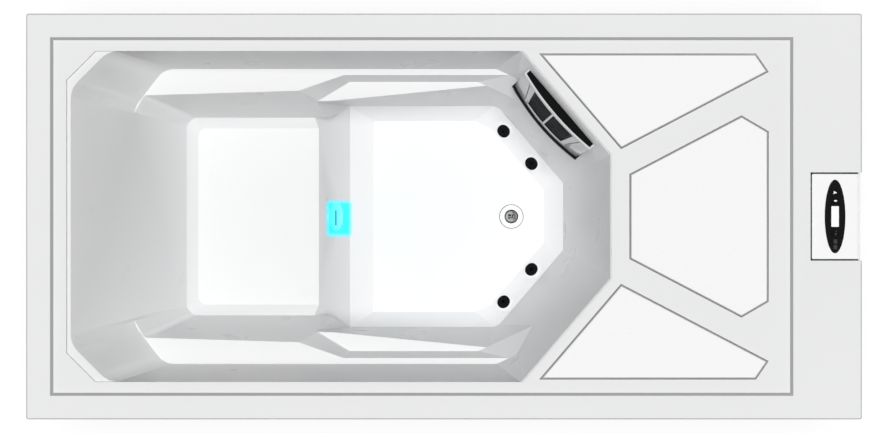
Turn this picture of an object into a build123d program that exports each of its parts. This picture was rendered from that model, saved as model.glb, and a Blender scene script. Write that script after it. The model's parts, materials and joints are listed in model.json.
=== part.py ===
from build123d import *
import os
from math import cos, hypot, pi, radians, sin, tan

# Outdoor spa pool for one bather, with a moulded basin, a deck and an equipment bay.
# Millimetres, +Z up. The origin is on the ground, under the middle of the rim.
# The bather's head is at -X, the deck and the controls are at +X.

# Overall sizes
rim_length = 2360.0
rim_width = 1146.0
rim_height = 840.0

# Rim and deck of the moulded shell
acrylic = 8.0
rim_skirt = 65.0
rim_edge_radius = 5.0
deck_drop = 12.0
step_bevel = 8.5
step_head_margin = 76.0
step_side_margin = 75.0
step_foot_margin = 202.0

# Basin outline at the deck
basin_head_margin = 123.0
basin_side_margin = 105.0
basin_length = 1530.0
diagonal_run = 250.0
end_wall_width = 352.0
lip_drop = 14.0
lip_strip = 11.0
lip_chamfer = 82.0
head_cut = (106.0, 106.0)
head_corner_radius = 70.0

# Heights inside the basin, from the ground
arm_z = 570.0
elbow_z = 490.0
seat_cove_z = 362.0
seat_z = 340.0
floor_cove_z = 168.0
floor_z = 130.0

# Slopes and ledges of the basin
backrest_angle = 57.0
diagonal_lean = 11.5
end_wall_lean = 9.7
side_wall_run = 40.0
arm_width = 76.0
seat_depth = 358.0
seat_cove = 33.0
seat_inset = 206.0
riser_run = 88.0
footwell_inset = 134.0
floor_inset = 57.0
floor_side_margin = 13.0
floor_head_margin = 70.0

# Corners of the steps beside the seat front: from the front of the seat, and from the armrest's outer edge
step_head_high = (-49.0, 62.0)
step_knee_high = (81.0, 17.0)
step_head_low = (-4.0, 94.0)
step_knee_low = (97.0, 34.0)
elbow_side = 45.0
riser_setback = 11.0
riser_lap = 70.0
seat_lap = 9.0

# Corners at the head: how far each is cut along X and along Y, and the rounding of the cut
arm_cut = (85.7, 111.8)
arm_corner_radius = 60.0
lounge_cut = (27.5, 50.0)
lounge_corner_radius = 15.0
seat_cut = (22.0, 22.0)
seat_corner_radius = 25.0
seat_floor_cut = (16.0, 16.0)
seat_floor_corner_radius = 18.0

# How far the shoulder between the side wall and the diagonal wall is cut back at each height
shoulder_lip = 2.0
shoulder_arm = 37.0
shoulder_elbow = 81.0
shoulder_cove = 78.0
shoulder_floor = 12.0

# Deck pads
pad_basin_gap = 30.0
pad_side_gap = 37.0
pad_foot_gap = 60.0
pad_rib = 73.0
pad_foot_width = 52.4
middle_pad_gap = 51.0
middle_pad_corner = 77.0
pad_corner_cut = 36.0
pad_corner_drop = 45.0
pad_pocket = 6.0
pad_thickness = 10.0
pad_clearance = 3.0
pad_bevel = 3.5

# Control notch, insert and keypad
notch_length = 145.0
notch_depth = 34.0
insert_seam = 4.0
insert_drop = 4.0
insert_wall = 4.0
insert_foot_gap = 10.0
insert_corner = 4.0
insert_bevel = 1.5
seal_play = 0.2
keypad_length = 208.0
keypad_end_gap = 20.6
keypad_width = 58.4
keypad_rise = 3.0
keypad_bevel = 1.5
keypad_pot_depth = 18.0
keypad_pot_length = 164.0
keypad_pot_width = 31.0
keypad_pot_corner = 6.0
display_length = 58.0
display_width = 21.0
display_rise = 0.6
display_corner = 1.0
display_gap = 0.2
button_length = 17.0
button_width = 24.0
button_corner = 6.0
button_depth = 5.0
button_rise = 0.8
near_button_gap = 15.0
button_pitch = 23.0
button_shift = 3.0
button_gap = 0.4

# Skimmer
skimmer_drop = 80.0
skimmer_height = 170.0
skimmer_width = 287.0
skimmer_skin = 5.0
skimmer_side_depth = 18.5
skimmer_side_flare = 1.0
skimmer_middle_depth = 30.5
skimmer_middle_flare = 4.0
skimmer_foot_taper = 8.0
window_top_gap = 12.0
window_bottom_gap = 18.0
window_top_half = 84.0
window_bottom_half = 72.0
mullion_half = 3.2
seam_top = 107.0
seam_bottom = 84.0
seam_width = 3.0
grille_pitch = 5.0
grille_slot = 2.4
grille_rows = 5
grille_columns = 14
top_slot_pitch = 8.5
top_slot_width = 4.5
top_slot_length = 11.0
lip_height = 9.0
mouth_width = 200.0
mouth_height = 100.0
mouth_lift = 10.0
duct_wall = 4.0
duct_straight = 16.0
duct_length = 50.0
duct_end_width = 118.0
weir_width = 150.0
weir_height = 66.0
weir_thickness = 4.0
weir_pin_radius = 2.5
weir_pin_length = 200.0
weir_knuckle_radius = 5.5
weir_y = -26.0
canister_place = (30.0, 110.0)
canister_radius = 85.0
canister_wall = 4.0
canister_depth = 380.0
canister_neck = 24.0
socket_depth = 30.0
socket_wall = 6.0
hatch_radius = 66.0
cartridge_radius = 56.0
cartridge_length = 250.0
cartridge_bore = 22.0
cartridge_cap = 10.0
cartridge_pleats = 20
pleat_depth = 11.0
lid_play = 0.6
lid_thickness = 4.0
lid_plug = 10.0

# Jets, drain and light
jet_spacing = 129.5
jet_shift = 4.0
jet_face_radius = 20.0
jet_flange_radius = 26.0
jet_face_rise = 6.0
jet_barrel_radius = 21.7
jet_barrel_depth = 46.0
jet_seat_radius = 15.0
jet_seat_depth = 14.0
jet_throat_radius = 6.0
jet_tail_radius = 11.0
jet_tail_bore = 8.0
jet_tail_length = 62.0
jet_depth = 34.0
jet_nut_radius = 33.0
jet_place = 0.46
flange_thickness = 3.0
manifold_radius = 20.0
manifold_wall = 4.0
manifold_gap = 43.0
nut_play = 0.1
drain_flange_radius = 35.0
drain_barrel_radius = 25.0
drain_nut_radius = 38.0
cross_width = 5.0
cross_height = 8.0
cross_depth = 30.0
drain_pipe_radius = 16.0
drain_pipe_wall = 3.0
drain_pipe_z = 52.0
drain_gap = 98.7
nut_thickness = 12.0
stopper_radius = 18.0
stem_radius = 3.0
stem_length = 36.0
light_radius = 45.0
light_barrel_radius = 40.0
light_depth = 46.0
light_wall = 4.0
light_rise = 10.0
light_crown = 5.0
light_socket_radius = 9.0
light_nut_radius = 54.0
light_z = 250.0

# Cabinet
panel_inset = 25.0
panel_thickness = 14.0
panel_top_gap = 40.0
groove_pitch = 96.0
base_thickness = 12.0
rail_thickness = 26.0
rail_height = 50.0
post_width = 60.0
frame_post_width = 44.0
bearer_width = 38.0
foot_rail_height = 40.0
corner_radius = 20.0
upstand_height = 24.0
groove_width = 5.0
vent_y = 260.0
vent_half = 110.0
vent_z0 = 300.0
vent_z1 = 420.0
vent_border = 8.0
vent_slats = 6
screw_radius = 3.0
screw_head_radius = 7.0
screw_head_height = 3.5
spigot_radius = 13.2
gland_y = -300.0
gland_z = 120.0
gland_radius = 13.0
gland_bore = 8.0
gland_hexagon = 18.0

# Plumbing
pipe_radius = 24.0
pipe_wall = 3.0
pipe_bend = 50.0
suction_bend = 60.0
union_radius = 40.0
union_length = 34.0
hose_radius = 14.0
pump_gap = 117.0
pump_z = 150.0
wet_radius = 88.0
wet_wall = 10.0
motor_radius = 76.0
motor_length = 230.0
motor_fins = 24
impeller_radius = 52.0
impeller_vanes = 6
shaft_radius = 7.0
shaft_depth = 55.0
discharge_wall = 9.0
discharge_height = 130.0
cradle_length = 150.0
heater_z = 420.0
heater_radius = 32.0
heater_wall = 3.0
heater_foot_y = -150.0
pack_y0 = -70.0
pack_y1 = 250.0
pack_half = 70.0
pack_lift = 50.0
pack_height = 220.0
leg_steel = 4.0
valve_z = 315.0
valve_half = 26.0
valve_stem_radius = 4.0
clearance = 0.3
running_gap = 0.05

# Places worked out from the sizes above
half_length = rim_length / 2
half_width = rim_width / 2
deck_z = rim_height - deck_drop
lip_z = deck_z - lip_drop
step_head_x = step_head_margin - half_length
step_foot_x = half_length - step_foot_margin
step_half = half_width - step_side_margin
head_x = basin_head_margin - half_length
foot_x = head_x + basin_length
basin_half = half_width - basin_side_margin
end_half = end_wall_width / 2
pads_foot_x = step_foot_x - pad_foot_gap
pads_side_y = step_half - pad_side_gap
rib_slope = (pads_side_y - pad_foot_width - end_half) / (pads_foot_x - foot_x)
jet_hole_radius = jet_barrel_radius + clearance
arm_half = basin_half - side_wall_run
arm_inner = arm_half - arm_width
footwell_half = basin_half - footwell_inset
seat_half = basin_half - seat_inset


def backrest_x(z):
    """Where the reclined backrest stands at height z."""
    return head_x + (lip_z - z) / tan(radians(backrest_angle))


seat_head_x = backrest_x(seat_cove_z) + seat_cove
seat_front_x = seat_head_x + seat_depth
riser_foot_x = seat_front_x + riser_run

# The diagonal walls at the foot end: along is their direction, out points out of the basin
diagonal_length = hypot(diagonal_run, basin_half - end_half)
along = (diagonal_run / diagonal_length, (end_half - basin_half) / diagonal_length)
out = (-along[1], along[0])
diagonal_middle = (foot_x - diagonal_run / 2, (basin_half + end_half) / 2)


def diagonal_distance(z):
    """Distance of the leaning diagonal wall from the Z axis at height z."""
    at_deck = diagonal_middle[0] * out[0] + diagonal_middle[1] * out[1]
    return at_deck - (deck_z - z) * tan(radians(diagonal_lean))


def diagonal_x(distance, y):
    """X of the line at that distance along out, where it has this y."""
    return (distance - out[1] * y) / out[0]


def diagonal_y(distance, x):
    """Y of the line at that distance along out, where it has this x."""
    return (distance - out[0] * x) / out[1]


# The shoulder facet faces half way between the side wall and the diagonal wall
bisector = Vector(out[0], out[1] + 1, 0).normalized()
shoulder_cuts = {
    lip_z: shoulder_lip,
    arm_z: shoulder_arm,
    elbow_z: shoulder_elbow,
    floor_cove_z: shoulder_cove,
}


def shoulder(distance, side, base, cut):
    """The facet's corners on the side wall and on the diagonal, cut back from the corner at base."""
    reach = bisector.X * diagonal_x(distance, base) + bisector.Y * base - cut
    turn = bisector.X * out[1] - bisector.Y * out[0]
    x = (reach * out[1] - bisector.Y * distance) / turn
    return [((reach - bisector.Y * side) / bisector.X, side), (x, diagonal_y(distance, x))]


def end_wall_x(z):
    """X of the leaning end wall at height z."""
    return foot_x - (deck_z - z) * tan(radians(end_wall_lean))


# General shapes


def widened(points, amount):
    """The outline moved outwards by amount, its corners kept sharp."""
    moved = []
    for i, (x, y) in enumerate(points):
        before = points[i - 1]
        after = points[(i + 1) % len(points)]
        first = Vector(x - before[0], y - before[1], 0).normalized()
        second = Vector(after[0] - x, after[1] - y, 0).normalized()
        normals = Vector(-first.Y, first.X, 0) + Vector(-second.Y, second.X, 0)
        shift = normals * (2 * amount / normals.length**2)
        moved.append((x + shift.X, y + shift.Y))
    return moved


def both_sides(half):
    """A whole outline from its +Y half, given from head to foot."""
    return half + [(x, -y) for x, y in reversed(half)]


def level(half, z, grow=0.0, corner=0.0):
    """A section of the basin at height z, with its cut corners at the head rounded when asked."""
    face = make_face(Polyline(*widened(both_sides(half), grow), close=True))
    if corner:
        face = fillet(face.vertices().sort_by(Axis.X)[:4], corner + grow)
    return Pos(0, 0, z) * face


def prism(points, low, high):
    """A straight prism over an outline."""
    face = make_face(Polyline(*points, close=True))
    return extrude(Pos(0, 0, low) * face, high - low)


def block(x0, x1, y0, y1, z0, z1):
    """A box between its lowest and highest corners."""
    return Pos((x0 + x1) / 2, (y0 + y1) / 2, (z0 + z1) / 2) * Box(x1 - x0, y1 - y0, z1 - z0)


def rod(start, end, radius):
    """A round bar from start to end."""
    path = Vector(*end) - Vector(*start)
    plane = Plane(origin=start, z_dir=path)
    return extrude(plane * Circle(radius), path.length)


def tube(start, end, outer, inner):
    """A round tube from start to end."""
    path = Vector(*end) - Vector(*start)
    plane = Plane(origin=start, z_dir=path)
    return extrude(plane * (Circle(outer) - Circle(inner)), path.length)


def pipe(points, bends, outer, inner):
    """A tube along straight runs joined by tangent arcs, one radius for each corner."""
    path = FilletPolyline(*points, radius=bends, close=False)
    plane = Plane(origin=points[0], z_dir=Vector(*points[1]) - Vector(*points[0]))
    return sweep(plane * (Circle(outer) - Circle(inner)), path=path)


def ring(plane, outer, inner, low, high):
    """A flat ring on a plane, between two heights over it."""
    return extrude(plane.offset(low) * (Circle(outer) - Circle(inner)), high - low)


def disc(plane, radius, low, high):
    """A disc on a plane, between two heights over it."""
    return extrude(plane.offset(low) * Circle(radius), high - low)


def dome(plane, radius, low, high, rise):
    """A disc whose crown rises by rise in three rings, as a cap of a sphere does."""
    body = disc(plane, radius, low, high - rise)
    shares = [1.0, 0.8, 0.55, 0.25]
    for outer, inner in zip(shares, shares[1:]):
        foot = plane.offset(high - rise * outer**2) * Circle(radius * outer)
        top = plane.offset(high - rise * inner**2) * Circle(radius * inner)
        body += loft([foot, top], ruled=True)
    return body


# Basin: each function gives the outline half at one height


def cut_corner(head, side, cut):
    """The two ends of a cut corner at the head."""
    return [(head, side - cut[1]), (head + cut[0], side)]


def bowl_half(z, head, side):
    """The side wall, the shoulder, the diagonal wall and half of the end wall."""
    distance = diagonal_distance(z)
    end = end_wall_x(z)
    facet = shoulder(distance, side, basin_half, shoulder_cuts[z])
    return [(head, side)] + facet + [(end, diagonal_y(distance, end))]


def beside_seat(corner):
    """A corner given from the front of the seat and from the armrest's outer edge."""
    return (seat_front_x + corner[0], arm_half - corner[1])


def elbow_half(z, start, knee):
    """As the bowl, but starting with the two corners of the step beside the seat front."""
    first = beside_seat(start)
    second = beside_seat(knee)
    return [first, second] + bowl_half(z, first[0], second[1])[1:]


def footwell_half_at(z):
    """As the bowl, starting at the lower corner of the step beside the seat front."""
    start = beside_seat(step_head_low)
    return [start] + bowl_half(z, start[0], arm_half - elbow_side)[1:]


def floor_half():
    """The footwell floor inside its cove."""
    distance = diagonal_distance(floor_cove_z) - floor_inset
    end = end_wall_x(floor_cove_z) - floor_inset
    side = footwell_half - floor_inset + floor_side_margin
    head = riser_foot_x + floor_head_margin
    facet = shoulder(distance, side, side, shoulder_floor)
    return [(head, side)] + facet + [(end, diagonal_y(distance, end))]


def basin(grow=0.0):
    """The space inside the basin, or with grow the same space and its wall."""
    knee = seat_front_x
    deck_half = [
        (head_x - lip_strip, basin_half - lip_chamfer),
        (head_x - lip_strip + lip_chamfer, basin_half),
        (foot_x - diagonal_run, basin_half),
        (foot_x, end_half),
    ]
    top = rim_height + 1 if grow == 0 else deck_z
    lip = prism(widened(both_sides(deck_half), grow), lip_z - grow, top)
    bowl_top = cut_corner(head_x, basin_half, head_cut) + bowl_half(lip_z, head_x, basin_half)[1:]
    arm_head = backrest_x(arm_z)
    bowl_foot = cut_corner(arm_head, arm_half, arm_cut) + bowl_half(arm_z, arm_head, arm_half)[1:]
    bowl = loft(
        [
            level(bowl_top, lip_z, grow, head_corner_radius),
            level(bowl_foot, arm_z - grow, grow, arm_corner_radius),
        ],
        ruled=True,
    )
    armrest_step = loft(
        [
            level(elbow_half(arm_z, step_head_high, step_knee_high), arm_z - grow, grow),
            level(elbow_half(elbow_z, step_head_low, step_knee_low), elbow_z - grow, grow),
        ],
        ruled=True,
    )
    footwell = loft(
        [
            level(footwell_half_at(elbow_z), elbow_z - grow, grow),
            level(bowl_half(floor_cove_z, riser_foot_x, footwell_half), floor_cove_z - grow, grow),
        ],
        ruled=True,
    )
    floor = loft(
        [
            level(bowl_half(floor_cove_z, riser_foot_x, footwell_half), floor_cove_z - grow, grow),
            level(floor_half(), floor_z - grow, grow),
        ],
        ruled=True,
    )
    cove_half = seat_half + seat_cove - 2
    riser_head = [(knee - riser_setback, cove_half), (knee + riser_lap, cove_half)]
    riser_foot = [(riser_foot_x, footwell_half), (riser_foot_x + riser_lap, footwell_half)]
    lounge_head = cut_corner(arm_head, arm_inner, lounge_cut) + [(knee + riser_lap - 1, arm_inner + 17)]
    cove_corner = cut_corner(backrest_x(seat_cove_z), cove_half, seat_cut)
    lounge_foot = cove_corner + [(knee + riser_lap - 1, cove_half)]
    seat_rim = cove_corner + [(knee + seat_lap, cove_half)]
    seat_floor = cut_corner(seat_head_x, seat_half, seat_floor_cut) + [(knee + seat_lap, seat_half)]
    riser = loft(
        [
            level(riser_head, seat_cove_z - grow, grow),
            level(riser_foot, floor_cove_z - grow, grow),
        ],
        ruled=True,
    )
    lounge = loft(
        [
            level(lounge_head, arm_z - grow, grow, lounge_corner_radius),
            level(lounge_foot, seat_cove_z - grow, grow, seat_corner_radius),
        ],
        ruled=True,
    )
    seat = loft(
        [
            level(seat_rim, seat_cove_z - grow, grow, seat_corner_radius),
            level(seat_floor, seat_z - grow, grow, seat_floor_corner_radius),
        ],
        ruled=True,
    )
    return lip + bowl + armrest_step + footwell + floor + riser + lounge + seat


# Deck pads


def deck_ray_y(x, drop):
    """The line that parts the middle pad from the others, moved square to itself by drop."""
    return end_half + (x - foot_x) * rib_slope - drop * hypot(1, rib_slope)


def side_pad_points():
    """The pad between the diagonal edge, the side and the rib, on the +Y side."""
    distance = diagonal_distance(deck_z) + pad_basin_gap
    near_x = (distance - out[1] * (end_half - foot_x * rib_slope)) / (out[0] + out[1] * rib_slope)
    return [
        (diagonal_x(distance, pads_side_y), pads_side_y),
        (pads_foot_x - pad_corner_cut, pads_side_y),
        (pads_foot_x, deck_ray_y(pads_foot_x, 0)),
        (near_x, deck_ray_y(near_x, 0)),
    ]


def middle_pad_points():
    """The pad along the middle of the deck."""
    near = foot_x + middle_pad_gap
    corner = pads_foot_x - middle_pad_corner
    half = [
        (near, deck_ray_y(near, pad_rib)),
        (corner, deck_ray_y(corner, pad_rib)),
        (pads_foot_x, deck_ray_y(corner, pad_rib) - pad_corner_drop),
    ]
    return both_sides(half)


def mirrored(points):
    """The same outline on the -Y side, turned back to the same direction."""
    return [(x, -y) for x, y in reversed(points)]


def pad(points):
    """A bevelled pad that lies in its pocket."""
    low = deck_z - pad_pocket
    body = prism(widened(points, -pad_clearance), low, low + pad_thickness)
    rim = body.faces().sort_by(Axis.Z)[-1].edges()
    return chamfer(rim, pad_thickness - pad_pocket, pad_bevel)


# Control notch

notch_x = half_length - notch_length
notch_half = keypad_length / 2 + keypad_end_gap
tray_z = rim_height - notch_depth
insert_top = rim_height - insert_drop
insert_x0 = notch_x + insert_seam
insert_x1 = half_length - insert_foot_gap
insert_half = notch_half - insert_seam
keypad_x = (insert_x0 + insert_x1) / 2
keypad_plane = Plane(origin=(keypad_x, 0, insert_top))
near_button = display_length / 2 + near_button_gap
far_button = near_button + button_pitch
button_places = [far_button, near_button, -near_button - button_shift, -far_button - button_shift]


def button_outline(grow):
    """A rounded button seen from above."""
    return RectangleRounded(button_width + 2 * grow, button_length + 2 * grow, button_corner + grow)


def control_insert():
    """The white cap that fills the notch."""
    body = block(insert_x0, insert_x1, -insert_half, insert_half, tray_z, insert_top)
    body = fillet(body.edges().filter_by(Axis.Z), insert_corner)
    body = chamfer(body.faces().sort_by(Axis.Z)[-1].edges(), insert_bevel)
    inner = insert_half - insert_wall
    body -= block(
        insert_x0 + insert_wall, insert_x1 - insert_wall, -inner, inner, tray_z - 1, insert_top - insert_wall
    )
    opening = keypad_plane.offset(-insert_wall - 1) * keypad_pot(clearance)
    return body - extrude(opening, insert_wall + 2)


def insert_seal():
    """The dark rubber strip in the seam, on the three sides inside the rim."""
    gap = seal_play
    outer = block(notch_x + gap, insert_x1, -notch_half + gap, notch_half - gap, tray_z, insert_top - 2)
    cut = block(insert_x0 - gap, half_length, -insert_half - gap, insert_half + gap, tray_z - 1, rim_height)
    return outer - cut


def keypad_pot(grow):
    """The outline of the keypad's pot, which drops through the insert."""
    width = keypad_pot_width + 2 * grow
    return RectangleRounded(width, keypad_pot_length + 2 * grow, keypad_pot_corner + grow)


def keypad_housing():
    """The oval keypad, with its pot below and its window and buttons cut out."""
    plate = extrude(keypad_plane * Ellipse(keypad_width / 2, keypad_length / 2), keypad_rise)
    plate = chamfer(plate.edges().sort_by(Axis.Z)[-1], keypad_bevel)
    body = plate + extrude(keypad_plane.offset(-keypad_pot_depth) * keypad_pot(0), keypad_pot_depth)
    gap = 2 * display_gap
    window = keypad_plane.offset(-1) * RectangleRounded(
        display_width + gap, display_length + gap, display_corner + display_gap
    )
    body -= extrude(window, keypad_rise + 2)
    for y in button_places:
        shaft = keypad_plane.offset(-button_depth - 3) * Pos(0, y) * button_outline(button_gap)
        body -= extrude(shaft, keypad_rise + button_depth + 4)
    return body


def keypad_display():
    """The window of the keypad."""
    face = keypad_plane.offset(-1) * RectangleRounded(display_width, display_length, display_corner)
    return extrude(face, keypad_rise + display_rise)


def keypad_button(y):
    """One sprung button, proud of the keypad."""
    face = keypad_plane.offset(-button_depth) * Pos(0, y) * button_outline(0)
    body = extrude(face, button_depth + keypad_rise + button_rise)
    return chamfer(body.faces().sort_by(Axis.Z)[-1].edges(), button_rise / 2)


# Shell


def pad_pockets(grow, low, high):
    """The three pad outlines as prisms."""
    side = side_pad_points()
    shapes = prism(widened(middle_pad_points(), grow), low, high)
    shapes += prism(widened(side, grow), low, high)
    return shapes + prism(widened(mirrored(side), grow), low, high)


def rim_and_deck():
    """The rim with its skirt, the lower deck, the pad pockets and the control tray."""
    body = Pos(0, 0, rim_height - rim_skirt / 2) * Box(rim_length, rim_width, rim_skirt)
    body = fillet(body.edges().filter_by(Axis.Z), 6)
    body = fillet(body.faces().sort_by(Axis.Z)[-1].edges(), rim_edge_radius)
    inner = Box(rim_length - 2 * acrylic, rim_width - 2 * acrylic, rim_skirt)
    body -= Pos(0, 0, rim_height - rim_skirt / 2 - acrylic) * inner
    body += block(
        step_head_x - acrylic, step_foot_x + acrylic, -step_half - acrylic, step_half + acrylic,
        deck_z - acrylic, rim_height - acrylic
    )
    body += pad_pockets(acrylic, deck_z - pad_pocket - acrylic, deck_z - acrylic)
    body += block(
        notch_x - acrylic, half_length, -notch_half - acrylic, notch_half + acrylic,
        tray_z - acrylic, rim_height - acrylic
    )
    return body


def step_recess():
    """The lowered deck with its bevelled edge, as the space above it."""
    corners = [(step_head_x, -step_half), (step_head_x, step_half), (step_foot_x, step_half)]
    corners.append((step_foot_x, -step_half))
    low = make_face(Polyline(*corners, close=True))
    high = make_face(Polyline(*widened(corners, step_bevel), close=True))
    recess = loft([Pos(0, 0, deck_z) * low, Pos(0, 0, rim_height) * high], ruled=True)
    return recess + prism(widened(corners, step_bevel), rim_height, rim_height + 1)


def shell():
    """The whole moulded shell, open for its fittings."""
    body = rim_and_deck() + basin(acrylic)
    body -= basin()
    body -= step_recess()
    body -= pad_pockets(0, deck_z - pad_pocket, deck_z + 1)
    body -= block(notch_x, half_length + 1, -notch_half, notch_half, tray_z, rim_height + 1)
    for plane in jet_planes():
        body -= disc(plane, jet_hole_radius, -40, 40)
    body -= disc(drain_plane, drain_barrel_radius + clearance, -20, 20)
    body -= disc(light_plane, light_barrel_radius + clearance, -40, 40)
    body -= skimmer_plane * Pos(0, 0, mouth_z) * Box(mouth_width + 0.6, 200, mouth_height + 0.6)
    body -= disc(Plane(origin=(canister_x, canister_y, deck_z)), hatch_radius, -30, 1)
    return body


# Skimmer

skimmer_plane = Plane(
    origin=(diagonal_middle[0], diagonal_middle[1], 0), x_dir=(along[0], along[1], 0), z_dir=(0, 0, 1)
)
skimmer_top = deck_z - skimmer_drop
skimmer_bottom = skimmer_top - skimmer_height
mouth_z = (skimmer_top + skimmer_bottom) / 2 + mouth_lift
canister_x = diagonal_middle[0] + along[0] * canister_place[0] + out[0] * canister_place[1]
canister_y = diagonal_middle[1] + along[1] * canister_place[0] + out[1] * canister_place[1]
canister_top = deck_z - pad_pocket - acrylic
canister_bottom = canister_top - canister_depth


def wall_y(z):
    """The diagonal wall in the skimmer's plane, at height z."""
    return -(deck_z - z) * tan(radians(diagonal_lean))


def bow(z, shrink=0.0, back=0.0):
    """A bow-fronted section of the skimmer front, as far inside its outer face as shrink."""
    share = (skimmer_top - z) / skimmer_height
    half = skimmer_width / 2 - skimmer_foot_taper * share - shrink
    side = skimmer_side_depth + skimmer_side_flare * share - shrink
    middle = skimmer_middle_depth + skimmer_middle_flare * share - shrink
    wall = wall_y(z)
    outline = Polyline((-half, wall - side), (-half, wall + back), (half, wall + back), (half, wall - side))
    front = ThreePointArc((half, wall - side), (0, wall - middle), (-half, wall - side))
    return skimmer_plane * (Pos(0, 0, z) * make_face(outline + front))


def in_skimmer(shape):
    """A shape drawn in the skimmer's own plane, put in place."""
    return skimmer_plane * shape


def window_prism(side, shrink):
    """One window as a straight prism through the front."""
    near = mullion_half + shrink
    bottom = skimmer_bottom + window_bottom_gap + shrink
    top = skimmer_top - window_top_gap - shrink
    points = [(side * near, bottom), (side * (window_bottom_half - shrink), bottom)]
    points += [(side * (window_top_half - shrink), top), (side * near, top)]
    face = make_face(Polyline(*points, close=True))
    return in_skimmer(extrude(Plane.XZ.offset(-60) * face, 260))


def seam_prism(side):
    """The slanted seam beside a window."""
    top = skimmer_top - window_top_gap
    bottom = skimmer_bottom + window_bottom_gap
    points = [(side * seam_bottom, bottom), (side * (seam_bottom + seam_width), bottom)]
    points += [(side * (seam_top + seam_width), top), (side * seam_top, top)]
    face = make_face(Polyline(*points, close=True))
    return in_skimmer(extrude(Plane.XZ.offset(-60) * face, 260))


def skimmer_skin_solid(outside, inside, low, high):
    """The bowed skin between two depths inside the outer face."""
    skin = loft([bow(high, outside), bow(low, outside)], ruled=True)
    return skin - loft([bow(high + 1, inside, 5), bow(low - 1, inside, 5)], ruled=True)


def skimmer_frame():
    """The pale bow front with two windows, an open top and two seams."""
    body = loft([bow(skimmer_top), bow(skimmer_bottom)], ruled=True)
    low = skimmer_bottom + skimmer_skin
    body -= loft([bow(skimmer_top + 1, skimmer_skin, 5), bow(low, skimmer_skin, 5)])
    for side in (-1, 1):
        body -= window_prism(side, 0)
        body -= seam_prism(side)
    return body


def skimmer_grilles():
    """The two dark slotted grilles in the windows."""
    skin = skimmer_skin_solid(1.0, 4.0, skimmer_bottom + 8, skimmer_top - 2)
    row_height = (skimmer_height - window_top_gap - window_bottom_gap - 12) / grille_rows
    places = []
    for row in range(grille_rows):
        z = skimmer_bottom + window_bottom_gap + 6 + (row + 0.5) * row_height
        places += [(2 * mullion_half + i * grille_pitch, z) for i in range(grille_columns)]
    grilles = []
    for side in (-1, 1):
        slot = Rectangle(grille_slot, row_height - 2 * grille_slot)
        slots = [Plane.XZ.offset(-60) * Pos(side * x, z) * slot for x, z in places]
        bars = [in_skimmer(extrude(slot, 260)) for slot in slots]
        grilles.append((skin & window_prism(side, clearance)) - bars)
    return grilles


def skimmer_top_grille():
    """The dark slotted strip that closes the top of the front."""
    inner = loft([bow(skimmer_top, skimmer_skin + clearance), bow(skimmer_top - 4, skimmer_skin + clearance)])
    slot = Box(top_slot_width, top_slot_length, 12)
    count = int((skimmer_width / 2 - skimmer_skin - top_slot_pitch) / top_slot_pitch)
    slots = []
    for i in range(-count, count + 1):
        slots.append(in_skimmer(Pos(i * top_slot_pitch, wall_y(skimmer_top) - 9, skimmer_top) * slot))
    return inner - slots


def skimmer_lip():
    """The dark curved lip under the front."""
    high = skimmer_bottom - clearance
    outer = loft([bow(high, -4), bow(high - lip_height, -6)], ruled=True)
    inner = loft([bow(high + 1, 5, 5), bow(high - lip_height - 1, 4, 5)], ruled=True)
    return outer - inner


def duct_space(grow, front, back):
    """The straight mouth of the duct and its taper to the canister."""
    height = mouth_height - 2 * duct_wall + 2 * grow
    wide = Pos(0, mouth_z) * Rectangle(mouth_width - 2 * duct_wall + 2 * grow, height)
    narrow = Pos(canister_place[0], mouth_z) * Rectangle(duct_end_width + 2 * grow, height)
    straight = extrude(Plane.XZ.offset(front) * wide, -(front + duct_straight))
    taper = loft([Plane.XZ.offset(-duct_straight) * wide, Plane.XZ.offset(-back) * narrow], ruled=True)
    return in_skimmer(straight + taper)


def skimmer_duct():
    """The open duct from the wall to the canister."""
    body = duct_space(duct_wall, 60, duct_length) - duct_space(0, 61, duct_length) - basin()
    way_out = Box(duct_end_width, duct_wall, mouth_height - 2 * duct_wall)
    body -= in_skimmer(Pos(canister_place[0], duct_length + 1, mouth_z) * way_out)
    body -= rod(weir_point(-mouth_width), weir_point(mouth_width), weir_pin_radius)
    return body


weir_z = mouth_z - mouth_height / 2 + 12


def weir_point(x, y=weir_y, z=weir_z):
    """A point in the skimmer's plane as a world point."""
    return (
        diagonal_middle[0] + along[0] * x + out[0] * y,
        diagonal_middle[1] + along[1] * x + out[1] * y,
        z,
    )


def weir_pin():
    """The pin through both cheeks of the duct."""
    return rod(weir_point(-weir_pin_length / 2), weir_point(weir_pin_length / 2), weir_pin_radius)


def weir_flap():
    """The floating flap on its pin, at rest upright in the mouth."""
    end = weir_width / 2
    knuckle = tube(weir_point(-end), weir_point(end), weir_knuckle_radius, weir_pin_radius + running_gap)
    middle = weir_z + weir_thickness + weir_height / 2
    plate = Pos(0, weir_y, middle) * Box(weir_width, weir_thickness, weir_height)
    rib = Pos(0, weir_y - 1, weir_z + weir_height + 2) * Box(weir_width, 2 * weir_thickness, 5)
    return knuckle + in_skimmer(plate + rib)


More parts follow.
